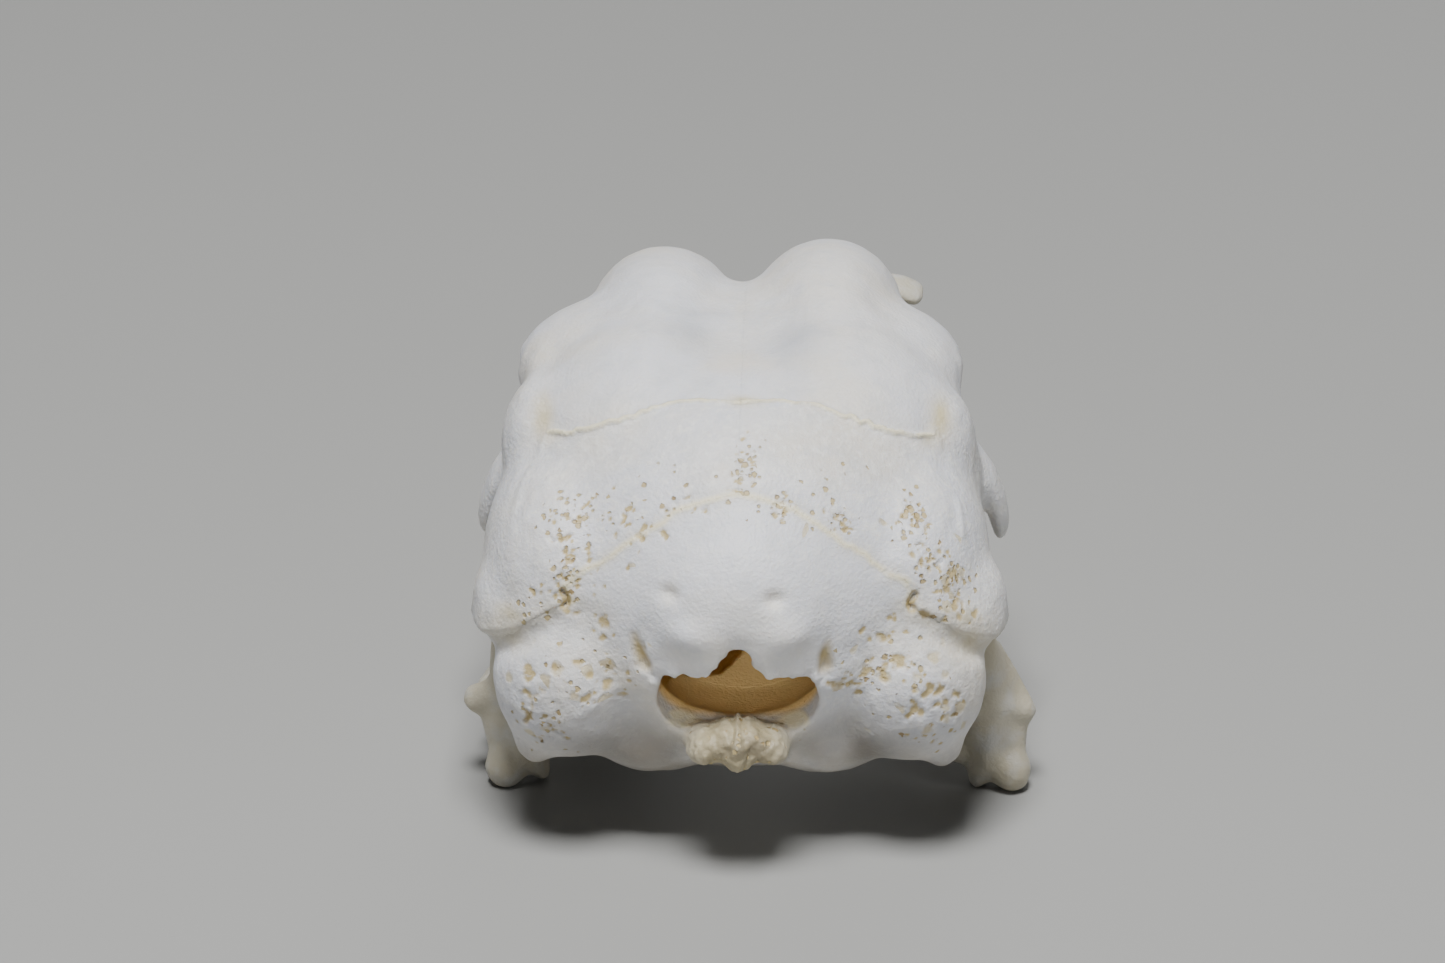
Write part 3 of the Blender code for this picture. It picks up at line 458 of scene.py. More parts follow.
@dataclass(frozen=True)
class DryBone:
    """Degreased and bleached bone.

    Its dense skin is a dull bluish white with a faint gloss, cream where fat stayed in it, and finely mottled
    where it is coarse. Pores show the tan spongy bone below, sutures are fine pale yellow lines, and light
    enters it a little, which softens shadows. Pitches and the relief are in mm.
    """

    name: str
    dense: str = "#D9DADF"
    warm: str = "#DDD3BC"
    ashen: str = "#C3C6CB"
    fleck: str = "#E9E8E4"
    smudge: str = "#A9AEB9"
    seam: str = "#F0E6C4"
    spongy: str = "#CEC098"
    tan: str = "#BBA878"
    deep: str = "#836A42"
    # The lining's golden tint, as light as it can be: partly the bone's tint, partly painted light that
    # stands in for light shining through the thin vault.
    inner: str = "#FFDC96"
    knob: str = "#CBBE96"
    # painted shade: the grey-brown laid where shade falls under the skull and around the knob
    grime: str = "#665E51"
    roughness: Pair = (0.40, 0.60)
    pore_pitch: float = 0.31
    cell_pitch: float = 0.8
    grain_pitch: float = 0.2
    fleck_pitch: float = 0.42
    mottle_pitch: float = 1.3
    cloud_pitch: float = 7.0
    relief: float = 0.07
    cell_depth: float = 0.45
    seam_height: float = 0.9
    hole_height: float = -1.5
    hole_radii: Pair = (0.3, 0.7)
    hole_edge: float = 4.5
    dark_holes: Pair = (0.74, 0.9)

    def build(self) -> Material:
        """Makes the material, which reads the layers that the pieces carry.

        Returns:
            The material.
        """
        material = bpy.data.materials.new(self.name)
        material.use_nodes = True
        tree = material.node_tree
        shader = tree.nodes["Principled BSDF"].inputs
        add = partial(add_node, tree)
        place = add("TexCoord", {})["Object"]
        got: dict[Any, Any] = {}
        for layer in Layer:
            got[layer.value] = add("Attribute", {}, attribute_name=layer.value)["Fac"]
        for name in ("cloud", "mottle", "fleck", "grain"):
            size = 1 / (getattr(self, name + "_pitch") * MM)
            got[name] = add("TexNoise", {"Vector": place, "Scale": size, "Detail": 3.0})["Fac"]
        for name, pitch in (("pores", self.pore_pitch), ("cells", self.cell_pitch)):
            got[name], got["deep_" + name] = self._holes(add, place, pitch, got[name])
        ranges = {
            "line": ("seam", 0.20, 0.06, 1),
            "broken": ("mottle", 0.28, 0.44, 1),
            "patches": ("cloud", 0.44, 0.70, 0.55),
            "shades": ("mottle", 0.48, 0.72, 0.75),
            "lights": ("fleck", 0.50, 0.66, 1),
            "bowl": ("pit", 0.08, 0.42, 1),
            "deep_pit": ("pit", 0.62, 1.0, 1),
        }
        for name, (source, low, high, top) in ranges.items():
            limits = {"Value": got[source], "From Min": low, "From Max": high, "To Max": top}
            got[name] = add("MapRange", limits)[0]
        steps = (
            ("line", "MULTIPLY", "line", "broken"),
            ("lights", "MULTIPLY", "lights", "coarse"),
            ("warmth", "MAXIMUM", "patches", "stain"),
            ("holes", "MULTIPLY_ADD", "cells", self.cell_depth, "pores"),
            ("height", "MULTIPLY_ADD", "fleck", "coarse", "grain"),
            ("height", "MULTIPLY_ADD", "line", self.seam_height, "height"),
            ("height", "MULTIPLY_ADD", "holes", self.hole_height, "height"),
        )
        for name, operation, *terms in steps:
            inputs = {number: got.get(term, term) for number, term in enumerate(terms)}
            got[name] = add("Math", inputs, operation=operation)[0]

        colour: Any = linear(self.dense)
        coats = (
            (self.warm, "warmth", 1),
            (self.ashen, "shades", 0.6),
            (self.fleck, "lights", 0.7),
            (self.smudge, "smudge", 1),
            (self.knob, "knob", 1),
            # painted shade under the skull and around the knob
            (self.grime, "grime", 1),
            # pale suture lines, and on the floor's lip partly painted light
            (self.seam, "line", 0.85),
            (self.tan, "pores", 0.9),
            (self.spongy, "cells", 0.7),
            (self.tan, "bowl", 0.95),
            (self.deep, "deep_pores", 0.6),
            (self.deep, "deep_cells", 0.3),
            (self.deep, "deep_pit", 0.8),
            # golden lining: partly the bone's tint, partly painted light through the thin vault
            (self.inner, "inner", 1),
        )
        for code, source, strength in coats:
            share = add("Math", {0: got[source], 1: strength}, operation="MULTIPLY")[0]
            colour = add("Mix", {0: share, 6: colour, 7: linear(code)}, data_type="RGBA")[2]
        tree.links.new(colour, shader["Base Color"])
        gloss = {"Value": got["mottle"], "To Min": self.roughness[0], "To Max": self.roughness[1]}
        tree.links.new(add("MapRange", gloss)[0], shader["Roughness"])
        bump = {"Height": got["height"], "Strength": 0.8, "Distance": self.relief * MM}
        tree.links.new(add("Bump", bump)["Normal"], shader["Normal"])
        shader["IOR"].default_value = 1.5
        shader["Subsurface Weight"].default_value = 0.12
        shader["Subsurface Radius"].default_value = (1.0, 0.72, 0.45)
        shader["Subsurface Scale"].default_value = 0.5 * MM
        return material

    def _holes(self, add: Any, place: Any, pitch: float, mask: Any) -> tuple[Any, Any]:
        """Uneven round holes of mixed sizes, one to a cell at most: clamp(edge * (radius - distance)).

        Args:
            add: adds a node.
            place: where the surface is.
            pitch: the cells' size in mm.
            mask: the share of the cells that have a hole.

        Returns:
            The holes' share, and that of the deep and dark ones.
        """
        shake = add("TexNoise", {"Vector": place, "Scale": 1.7 / (pitch * MM), "Detail": 1.0})
        push = {0: shake["Color"], 1: [0.5 * pitch * MM] * 3, 2: place}
        moved = add("VectorMath", push, operation="MULTIPLY_ADD")[0]
        cell = add("TexVoronoi", {"Vector": moved, "Scale": 1 / (pitch * MM)})
        chance = add("SeparateColor", {0: cell["Color"]})
        there = add("Math", {0: chance[0], 1: mask}, operation="LESS_THAN")[0]
        sizes = {"Value": chance[1], "To Min": self.hole_radii[0], "To Max": self.hole_radii[1]}
        size = add("MapRange", sizes)[0]
        inside = add("Math", {0: size, 1: cell["Distance"]}, operation="SUBTRACT")[0]
        edge = {0: inside, 1: self.hole_edge}
        inside = add("Math", edge, operation="MULTIPLY", use_clamp=True)[0]
        share = add("Math", {0: inside, 1: there}, operation="MULTIPLY")[0]
        limits = {"Value": chance[2], "From Min": self.dark_holes[0], "From Max": self.dark_holes[1]}
        dark = add("MapRange", limits)[0]
        return share, add("Math", {0: share, 1: dark}, operation="MULTIPLY")[0]


# Braincase.


@dataclass(frozen=True)
class Suture:
    """A seam between bones in mm: the points that it passes, how high its lips stand and how far it wanders.

    Its cut reaches from near the brain's middle out to a share of the way to those points.
    """

    name: str
    points: tuple[Point, ...]
    lips: float = 0.0
    wander: float = 0.10
    where: Where = BOTH
    far: float = 1.55


@dataclass(frozen=True)
class Patch:
    """A soft round patch: its middle and radii in mm, and its strength.

    The strength is the share of a layer or of the holes that are open, or a height in mm, below 0 for a dent.
    """

    centre: Point
    radii: Point
    strength: float
    where: Where = BOTH

    def bells(self, points: Array) -> list[Array]:
        """Its strength times its bell at each place, once for each of its sides."""
        return [self.strength * bell(points, centre, self.radii) for centre in self.where.mirror(self.centre)]


@dataclass(frozen=True)
class Pits:
    """A cluster of open pits in mm: where, how far spread, how many, and the holes' radii.

    A hole is its depth times its radius deep.
    """

    centre: Point
    spread: Point
    count: int
    radii: Pair
    where: Where = BOTH
    depth: float = 0.6


@dataclass(frozen=True)
class Furrow:
    """A form along a path in mm: the points that it passes, half its width, its height and its stain."""

    points: tuple[Point, ...]
    width: float
    height: float
    stain: float = 0.0
    where: Where = BOTH

    def near(self, points: Array) -> Array:
        """How near each place lies to it: exp(-(d / width)^2), with d to its path."""
        spots = np.vstack([curve_through(path, self.width / 2) for path in self.where.mirror(self.points)])
        return np.exp(-((np.minimum.reduce([lengths(points - spot) for spot in spots]) / self.width) ** 2))


BREGMA: Point = (0, 8.6, 23.5)
LAMBDA: Point = (0, 3.5, 20.7)
CORONAL_END: Point = (10, 10.4, 21)
FRONTAL_CORNER: Point = (12.5, 18, 19.2)
ASTERION: Point = (8.75, 2.75, 14.9)
EAR_END: Point = (12.8, 12.5, 10.4)
BASE_CORNER: Point = (4.2, 7, 4.8)

SUTURES = (
    Suture(
        "coronal", (BREGMA, (3.5, 9.2, 23.2), (6.5, 8.9, 22.2), (8.3, 9.2, 21.5), CORONAL_END), 0.14, 0.16
    ),
    Suture("frontosquamosal", (CORONAL_END, (10.4, 12.8, 21.9), (11.6, 16, 20.9), FRONTAL_CORNER)),
    Suture(
        "orbital",
        (FRONTAL_CORNER, (11, 20, 17.8), (7.4, 19.8, 17.4), (3.5, 20.6, 17.4), (0, 22.4, 17)),
        far=1.3,
    ),
    Suture(
        "lambdoid", (LAMBDA, (2.4, 3.1, 20.2), (4.4, 2.9, 19.1), (6.85, 3.3, 17), (8.3, 3.4, 15.8), ASTERION),
        -0.03, 0.14,
    ),
    Suture("parietosquamosal", (CORONAL_END, (11.1, 9, 19.3), (10.6, 4.6, 17), ASTERION), 0, 0.08),
    Suture(
        "nuchal",
        (ASTERION, (10.25, 3.1, 13.75), (11.5, 3.7, 12.7), (13, 5.2, 11.7), (13.6, 10, 10.8), EAR_END),
        -0.05, 0.16,
    ),
    Suture(
        "supraoccipital", (ASTERION, (7.1, 2.1, 13.5), (5.8, 1.4, 12.6), (4.6, 1, 11.8), (3.8, 0.6, 11.2))
    ),
    Suture(
        "basioccipital", ((2.6, 2.2, 10), (2.9, 1.8, 8.9), (3.2, 2.6, 6.8), (3.8, 4.6, 5.2), BASE_CORNER)
    ),
    Suture("basisphenoid", ((0, 7.2, 4.6), BASE_CORNER)),
    Suture("petrosal", (BASE_CORNER, (7.5, 8.2, 5.6), (10.5, 10.5, 7), EAR_END)),
    Suture("squamosphenoid", (EAR_END, (13.4, 14.6, 13.6), (12.9, 16.2, 17), FRONTAL_CORNER)),
    Suture(
        "interfrontal",
        (BREGMA, (0, 16, 25), (0, 26, 24), (0, 42, 17), (0, 44, 8)),
        0, 0.03, RIGHT,
    ),
    Suture("interparietal", (LAMBDA, (0, 6.2, 22.2), BREGMA), 0, 0.05, RIGHT),
)

PITS = (
    Pits((0.4, 5.2, 21.9), (0.38, 1.1, 0.5), 24, (0.11, 0.19), RIGHT),
    Pits((-0.1, 3.7, 20.8), (0.35, 0.2, 0.2), 6, (0.13, 0.2), RIGHT),
    Pits((2.1, 3, 20.2), (0.4, 0.25, 0.25), 13, (0.12, 0.22), RIGHT),
    Pits((5.1, 3.5, 19.3), (0.5, 0.3, 0.5), 13, (0.13, 0.27), RIGHT),
    Pits((2.9, 3.8, 20.4), (0.15, 0.1, 0.1), 2, (0.2, 0.3), LEFT),
    Pits((1.9, 3.1, 20.1), (0.9, 0.3, 0.3), 12, (0.11, 0.24), LEFT),
    Pits((5, 3, 18.6), (1, 0.3, 0.6), 16, (0.11, 0.24), LEFT),
    Pits((7.3, 2.9, 16.2), (0.8, 0.3, 0.6), 9, (0.11, 0.22), LEFT),
    Pits((5.9, 3.7, 18.9), (0.6, 0.3, 0.6), 11, (0.13, 0.24), LEFT),
    Pits((8.4, 5, 18.9), (0.85, 0.6, 0.6), 16, (0.12, 0.18), LEFT),
    Pits((9.2, 4.1, 17.8), (0.35, 0.2, 0.15), 7, (0.14, 0.25), LEFT, 0.9),
    Pits((8.6, 3.3, 16.6), (0.4, 0.25, 0.7), 16, (0.13, 0.22), LEFT, 0.8),
    Pits((10.1, 3.1, 15), (0.4, 0.2, 0.45), 9, (0.13, 0.25), LEFT),
    Pits((8.9, 5.1, 18.9), (0.45, 0.5, 0.8), 18, (0.13, 0.21), RIGHT),
    Pits((9.6, 3.6, 17), (0.4, 0.3, 0.6), 16, (0.14, 0.27), RIGHT, 0.8),
    Pits((11, 3.9, 15.5), (0.85, 0.4, 0.8), 32, (0.14, 0.3), RIGHT, 0.3),
    Pits((7.6, 2.4, 13.9), (0.8, 0.3, 0.5), 11, (0.16, 0.36), BOTH, 0.3),
    Pits((7, 1.8, 11.4), (1.1, 0.3, 0.8), 18, (0.17, 0.42), LEFT, 0.28),
    Pits((10.7, 2.1, 10.6), (0.5, 0.3, 0.9), 8, (0.18, 0.55), LEFT, 0.28),
    Pits((10, 2, 7.7), (0.9, 0.3, 0.7), 12, (0.14, 0.28), LEFT, 0.45),
    Pits((5.9, 1.6, 10.9), (0.7, 0.3, 0.6), 17, (0.15, 0.38), RIGHT, 0.32),
    Pits((7.8, 1.9, 12), (0.8, 0.3, 0.6), 12, (0.18, 0.46), RIGHT, 0.28),
    Pits((9.9, 1.6, 10), (1, 0.3, 0.8), 22, (0.16, 0.42), RIGHT, 0.34),
    Pits((10.4, 2.2, 8), (0.8, 0.3, 0.7), 10, (0.14, 0.24), RIGHT, 0.45),
)

PORES = (
    Patch((0.35, 4.9, 21.8), (0.65, 1.7, 1.2), 1, RIGHT),
    Patch((2.4, 3.2, 20.2), (1.3, 0.9, 0.6), 0.65, RIGHT),
    Patch((5.1, 3.6, 19.4), (0.9, 0.9, 0.9), 0.8, RIGHT),
    Patch((3.8, 3.6, 20), (3.2, 1, 0.7), 0.25),
    Patch((4, 5.2, 21.1), (1.8, 1.2, 0.8), 0.14),
    Patch((8.4, 5, 18.9), (1.3, 1.2, 1), 0.9, LEFT),
    Patch((8.7, 3.4, 16.7), (0.8, 0.9, 1.3), 0.6, LEFT),
    Patch((8.9, 5.1, 18.9), (0.9, 1.1, 1.2), 0.95, RIGHT),
    Patch((9.6, 3.6, 17), (0.9, 0.9, 1.1), 0.8, RIGHT),
    Patch((11, 3.9, 15.5), (1.6, 1.2, 1.3), 0.6, RIGHT),
    Patch((10.6, 3.2, 14.6), (1, 0.8, 0.9), 0.4, LEFT),
    Patch((7.6, 1.9, 11.4), (2.6, 1.5, 1.7), 0.22),
    Patch((10.2, 2, 8.4), (1.7, 1.5, 1.5), 0.25),
    Patch((0, 0.4, 7.6), (2.4, 2, 1.6), 0.35, RIGHT),
)

CELLS = (
    Patch((8.2, 1.8, 11.4), (2.6, 1.5, 1.5), 0.5),
    Patch((10.4, 2, 8.8), (1.6, 1.5, 1.6), 0.3),
    Patch((11.2, 4.1, 15.4), (1.5, 1.5, 1.2), 0.3, RIGHT),
    Patch((5.6, 3.3, 18.6), (1.6, 1, 0.8), 0.25),
)

SWELLINGS = (
    Patch((3.6, 0.3, 16.5), (0.6, 0.8, 0.4), -0.3, LEFT),
    Patch((1.9, -0.3, 16.5), (0.6, 0.8, 0.4), -0.32, RIGHT),
    Patch((2.6, -0.5, 14.5), (1.2, 1, 0.9), 0.34),
    Patch((0, -0.6, 13.6), (0.9, 1, 1.2), -0.32, RIGHT),
    Patch((0, 0.1, 17), (0.9, 2.5, 2.4), 0.1, RIGHT),
    Patch((5.4, 0.9, 9.6), (1.5, 1.2, 1), -0.22),
    Patch((8.8, 1.5, 10.6), (2.2, 1.5, 1.6), 0.15),
    Patch((2.7, 15.2, 24.3), (1.6, 2.6, 1.5), -0.05),
    Patch((5.2, 2.2, 8.2), (1.7, 1.5, 1.1), -0.38),
    Patch((0.3, 8.7, 23.5), (0.6, 0.3, 0.4), 0.1, RIGHT),
    Patch((11.2, 16, 22), (1, 2, 1), 0.25, LEFT),
)

STAINS = (
    Patch((4.5, 20, 24), (4.5, 9, 4), 0.5, RIGHT),
    Patch((10.3, 11.6, 21.2), (0.9, 2, 1.1), 1.1),
    Patch((12, 4.6, 12.9), (1.8, 1.8, 1), 0.8),
    Patch((3.6, 0.3, 16.5), (0.5, 0.5, 0.5), 1, LEFT),
    Patch((1.9, -0.3, 16.5), (0.5, 0.5, 0.5), 1, RIGHT),
)

WAX = (
    Patch((10.3, 12, 21.4), (0.5, 1.6, 0.7), 0.9),
    Patch((0, 8.8, 23.5), (0.9, 0.45, 0.6), 0.8, RIGHT),
    Patch((9.6, 10, 20.9), (0.9, 0.6, 0.5), 0.4),
    Patch((10.8, 5.2, 12.1), (2.2, 2.2, 0.8), 0.8),
    Patch((11.6, 3.6, 13.7), (1.5, 1, 0.5), 0.7),
    Patch((12.6, 4.6, 11.6), (1, 1, 0.5), 0.5),
)

# Patches of painted shade: the hollow beside the knob, and the knob's underside.
GRIME = (
    Patch((5.6, 2.9, 6.5), (3.4, 3.5, 2.1), 1),
    Patch((0.4, -0.4, 7.9), (2.8, 2, 1.7), 0.9),
)

SMUDGES = (
    Patch((2.8, 16.1, 24.2), (1.4, 3, 3), 0.5, LEFT),
    Patch((2.7, 15, 24.2), (1.5, 3, 3), 0.5, RIGHT),
)

FURROWS = (
    Furrow(((2.2, 18.4, 23.8), (4, 18.3, 24.2), (6.2, 18.9, 24.1)), 1.3, 0.32),
    Furrow(((5.1, 1.5, 13.7), (5, 1.3, 13), (4.8, 1.1, 12.2)), 0.34, -0.48, 0.45, LEFT),
    Furrow(((4.4, 1.2, 13.7), (4.4, 1, 13), (4.5, 1, 12.2)), 0.34, -0.48, 0.45, RIGHT),
    Furrow(((9.05, 2.9, 15.4), (8.8, 2.9, 14.9), (8.95, 2.8, 14.6)), 0.14, -0.34, 1),
    Furrow(((3.9, 0.7, 11), (5, 0.9, 10.4), (6, 1.2, 9.9)), 0.32, 0.38),
    Furrow(((4.3, 1.3, 11.2), (4.15, 1.6, 10.4), (3.75, 1.7, 9.6), (3, 1.5, 8.9)), 0.3, 0.26),
    Furrow(
        ((9.4, 2.9, 14.6), (10.25, 2.9, 14.1), (11.5, 3.5, 13.1), (13, 4.9, 12.2), (13.7, 8, 11.9)),
        0.32, 0.14,
    ),
    Furrow(((9.9, 1.7, 10.3), (10.5, 1.9, 9.8), (10.6, 2, 9), (11, 2.3, 8.2)), 0.11, -0.2, 0.6, LEFT),
    Furrow(((10.2, 3.7, 13.5), (11, 4.3, 12.9), (11.8, 5, 12.3), (12.6, 5.8, 11.8)), 0.6, 0.25),
    Furrow(((9.3, 2.5, 13.9), (10.4, 2.7, 12.9), (11.6, 3.3, 12), (13, 4.8, 11.1)), 0.28, -0.1),
    Furrow(((9.9, 10.8, 21), (10.7, 9.6, 20.1), (11.2, 8.4, 19.2), (11.6, 6, 17.4)), 0.28, 0.1),
)

COARSE = {"frontal": 0.25, "supraoccipital": 0.4, "exoccipital": 0.6}

FORAMEN_RIM = Furrow(
    ((4.3, 1.2, 11.6), (2.6, 0.6, 11.8), (1.2, 0.3, 12.3), (0.5, 0.2, 13.3), (0, 0.2, 13.8)), 0.5, 0.28
)


def strongest(points: Array, patches: Iterable[Patch]) -> Array:
    """The strength of the strongest patch at each place."""
    return np.maximum.reduce([share for patch in patches for share in patch.bells(points)])


def open_share(points: Array, patches: Iterable[Patch], drift: float, seed: int) -> Array:
    """Which share of the holes is open at each place: the strongest patch, in drifts of that many mm."""
    return strongest(points, patches) * (1.0 + 0.5 * grain(points, drift, seed))


@dataclass
class SeamField:
    """All sutures as rays, a spacing apart, from the brain's middle, which say how near a place is to one."""

    middle: Array
    spacing: float
    lines: list[tuple[Suture, Array]] = field(default_factory=list)

    def __post_init__(self) -> None:
        """Lays the wandering lines."""
        for suture in SUTURES:
            for path in suture.where.mirror(suture.points):
                line = curve_through(path, self.spacing)
                self.lines.append((suture, line + self._shake(line, len(self.lines)) * suture.wander))

    @staticmethod
    def _shake(line: Array, seed: int) -> Array:
        """How a suture wanders, per mm: a coarse and a fine grain, which fade towards its ends."""
        moves = [grain(line + far, 1.1, seed) + 0.8 * grain(line - far, 0.36, seed) for far in (0, 50, 100)]
        return np.stack(moves, axis=1) * np.sqrt(np.sin(np.linspace(0.0, math.pi, len(line))))[:, None]

    def measure(self, points: Array, name: str = "", reach: float = 1.0) -> tuple[Array, Array]:
        """How far each place is from the nearest suture, across the rays.

        That is |p| * |p / |p| - q / |q||, for a place p and a suture's point q, seen from the middle, where p
        isn't further out than the suture's cut.

        Args:
            points: places in mm.
            name: the only suture that counts, if any.
            reach: the largest distance that is told apart, in mm.

        Returns:
            The distances in mm, and the nearest sutures' lips.
        """
        rays = points - self.middle
        length = lengths(rays)
        heads = rays / length[:, None]
        bins = PointBins(heads, reach / 8.0)
        nearest, lips = np.full(len(points), reach), np.zeros(len(points))
        for suture, line in (entry for entry in self.lines if entry[0].name.startswith(name)):
            spokes = line - self.middle
            reaches = lengths(spokes)
            for head, far in zip(spokes / reaches[:, None], reaches):
                near = bins.near(head)
                away = lengths(heads[near] - head) * length[near]
                closer = (away < nearest[near]) & (length[near] < far * suture.far)
                nearest[near[closer]] = away[closer]
                lips[near[closer]] = suture.lips
        return nearest, lips


@dataclass
class Braincase:
    """The eleven bones around the brain and over the eyes, with places and sizes in mm.

    A ball is a middle and radii. Linings are those of the brain's spaces and their mouth, with the edge where
    each fades and its strength. Grains have a height, a pitch and a seed.
    """

    finish: Material
    pitch: float = 0.14
    closing: float = 0.19
    even_passes: int = 4
    smoothing: float = 0.5
    seam_width: float = 0.004
    seam_near: float = 0.2
    seam_past: float = 0.05
    lip_width: float = 0.15
    gutter_width: float = 0.5
    gutter_share: float = 0.3
    ray_spacing: float = 0.08
    middle: Point = (0, 11, 14)
    linings: tuple[tuple[Ball, Pair, float], ...] = (
        (((0, 12.4, 15.7), (10.2, 7.1, 7.3)), (1.05, 1.16), 1),
        (((0, 7, 12.4), (6, 6, 5.2)), (1.05, 1.16), 1),
        (((0, 2.6, 10.9), (4.3, 2.2, 2.5)), (0.8, 1.1), 0.9),
    )
    knob: Ball = ((0, 0.6, 7.7), (3, 2.2, 1.8))
    # The floor's lip, painted pale cream: partly its colour, partly painted light where the roof above shades
    # it.
    lip: Ball = ((2.7, 2.5, 8.4), (2.2, 1.5, 0.9))
    brow_rim: Ball = ((12.2, 19.5, 20), (1, 5.5, 1.6))
    lobe: Ball = ((0, 2, 9.8), (1, 3, 3.2))
    lobe_start: Pair = (5, 7)
    folds: int = 9
    fold_top: float = 9.6
    fold_height: float = 0.17
    rim_wave: float = 0.07
    skin_grains: Grains = ((0.03, 2.6, 35), (0.012, 0.8, 36))
    knob_grains: Grains = ((0.13, 0.6, 31), (0.16, 0.27, 32))
    lobe_grains: Grains = ((0.07, 1.4, 33), (0.04, 0.36, 34))
    pit_seed: int = 11
    pit_skew: float = 1.8
    pit_reach: float = 0.7
    pit_unevenness: float = 0.65
    nodes: tuple[str, ...] = (
        *paired("frontal"), *paired("parietal"), *paired("squamosal"), *paired("exoccipital"),
        "supraoccipital", "basioccipital", "sphenoid",
    )
    other_coarse: float = 0.9
    wax_lines: tuple[tuple[str, float, float], ...] = (("lambdoid", 0.22, 0.5), ("nuchal", 0.4, 0.6))
    seams: SeamField = field(init=False)
    pits: list[tuple[Array, float, float]] = field(default_factory=list)

    def __post_init__(self) -> None:
        """Lays the sutures."""
        self.seams = SeamField(np.array(self.middle), self.ray_spacing)

    def build(self) -> None:
        """Makes the body, shapes it, parts it and dresses the bones."""
        body = self._body()
        self._scatter_pits(body)
        self._shape(body)
        self._part(body)
        for node, bone in zip(self.nodes, self._bones(body)):
            self._dress(bone, node)

    def _body(self) -> Piece:
        """The solids of the braincase as one fine body, with the thin cuts between them filled.

        Returns:
            The body.
        """
        body = stock_of("braincase", self.nodes)
        swell(body, self.closing)
        reskin(body, self.pitch)
        relax(body, self.even_passes, 0.2)
        away = self.seams.measure(to_skull(corners_of(body)))[0]
        relax(body, round(self.smoothing / self.pitch**2), 0.10 + 0.3 * np.exp(-((away / 0.5) ** 2)))
        swell(body, -self.closing)
        relax(body, self.even_passes, 0.05)
        return body

    def _scatter_pits(self, body: Piece) -> None:
        """Strews the pits of each cluster: normally spread places, each put on the nearest skin.

        Args:
            body: the skin.
        """
        dice = np.random.default_rng(self.pit_seed)
        for cluster in PITS:
            for sign in cluster.where.value:
                places = dice.normal(cluster.centre, cluster.spread, (cluster.count, 3)) * (sign, 1, 1)
                small, large = cluster.radii
                radii = small + (large - small) * dice.random(cluster.count) ** self.pit_skew
                for place, radius in zip(to_model(places), radii):
                    spot = np.array(body.closest_point_on_mesh(Vector(place))[1])
                    self.pits.append((to_skull(spot), float(radius), cluster.depth))

    def _pit_share(self, points: Array) -> tuple[Array, Array]:
        """How far each place is down a pit, (1 - (d / r)^2)^1.2, with d shifted a little for uneven rims.

        Args:
            points: places in mm.

        Returns:
            The pits' share at each place, and their depth in mm.
        """
        warp = np.stack([grain(points, 0.38, 90 + k) for k in range(3)], axis=1)
        bins = PointBins(points, self.pit_reach)
        share, depth = np.zeros(len(points)), np.zeros(len(points))
        for spot, radius, ratio in self.pits:
            near = bins.near(spot)
            away = lengths(points[near] + warp[near] * radius * self.pit_unevenness - spot) / radius
            bowl = np.clip(1.0 - away**2, 0.0, 1.0) ** 1.2
            share[near] = np.maximum(share[near], bowl * min(1.0, ratio + 0.3))
            depth[near] = np.maximum(depth[near], bowl * radius * ratio)
        return share, depth

    def _shape(self, body: Piece) -> None:
        """Raises and sinks the skin: swellings, furrows, pits, the sutures' lips, the knob, rims and lobes.

        The knob's folds are cos(n * angle) around a place over it. A suture's lip is exp(-(d / width)^2),
        less a wider one for the gutter beside it.

        Args:
            body: the skin.
        """
        points = to_skull(corners_of(body))
        rise = grains(points, self.skin_grains)
        for form in SWELLINGS:
            for height in form.bells(points):
                rise += height
        for furrow in FURROWS:
            rise += furrow.height * furrow.near(points)
        rise -= self._pit_share(points)[1]
        away, lips = self.seams.measure(points)
        gutter = self.gutter_share * np.exp(-((away / self.gutter_width) ** 2))
        rise += lips * (np.exp(-((away / self.lip_width) ** 2)) - gutter)
        fan = np.cos(self.folds * np.arctan2(points[:, 0], self.fold_top - points[:, 2]))
        rise += bell(points, *self.knob) * grains(points, self.knob_grains, self.fold_height * fan)
        rise += self.rim_wave * bell(folded(points), *self.brow_rim) * grain(points, 0.7, 38)
        lobes = bell(points * (0, 1, 1), *self.lobe) * smoothstep(*self.lobe_start, np.abs(points[:, 0]))
        rise += lobes * grains(points, self.lobe_grains)
        rise += FORAMEN_RIM.height * FORAMEN_RIM.near(points) * grain(points, 0.4, 37)
        swell(body, rise)
        keep_in_box(body, self.nodes)

    def _wall(self, suture: Suture, line: Array) -> Piece:
        """A thin wall through a suture: a four-cornered profile, from near the middle out, along the line.

        Args:
            suture: the seam.
            line: its wandering points.

        Returns:
            The wall.
        """
        rays = line - self.seams.middle
        ahead = np.gradient(line, axis=0)
        across = np.cross(rays, ahead)
        across *= self.seam_width / 2 / np.linalg.norm(across, axis=1, keepdims=True)
        rays[0] -= ahead[0] / np.linalg.norm(ahead[0]) * self.seam_past
        rays[-1] += ahead[-1] / np.linalg.norm(ahead[-1]) * self.seam_past
        inner, outer = rays * self.seam_near, rays * suture.far
        rings = np.stack([inner + across, outer + across, outer - across, inner - across], axis=1)
        return tube_mesh("wall", to_model(rings + self.seams.middle))

    def _part(self, body: Piece) -> None:
        """Cuts the body along its sutures.

        Args:
            body: the body.
        """
        tools = bpy.data.collections.new("walls")
        for suture, line in self.seams.lines:
            tools.objects.link(self._wall(suture, line))
        cut = {"operation": "DIFFERENCE", "operand_type": "COLLECTION", "solver": "MANIFOLD"}
        modify(body, "BOOLEAN", collection=tools, **cut)
        bpy.data.batch_remove([*tools.objects, tools])

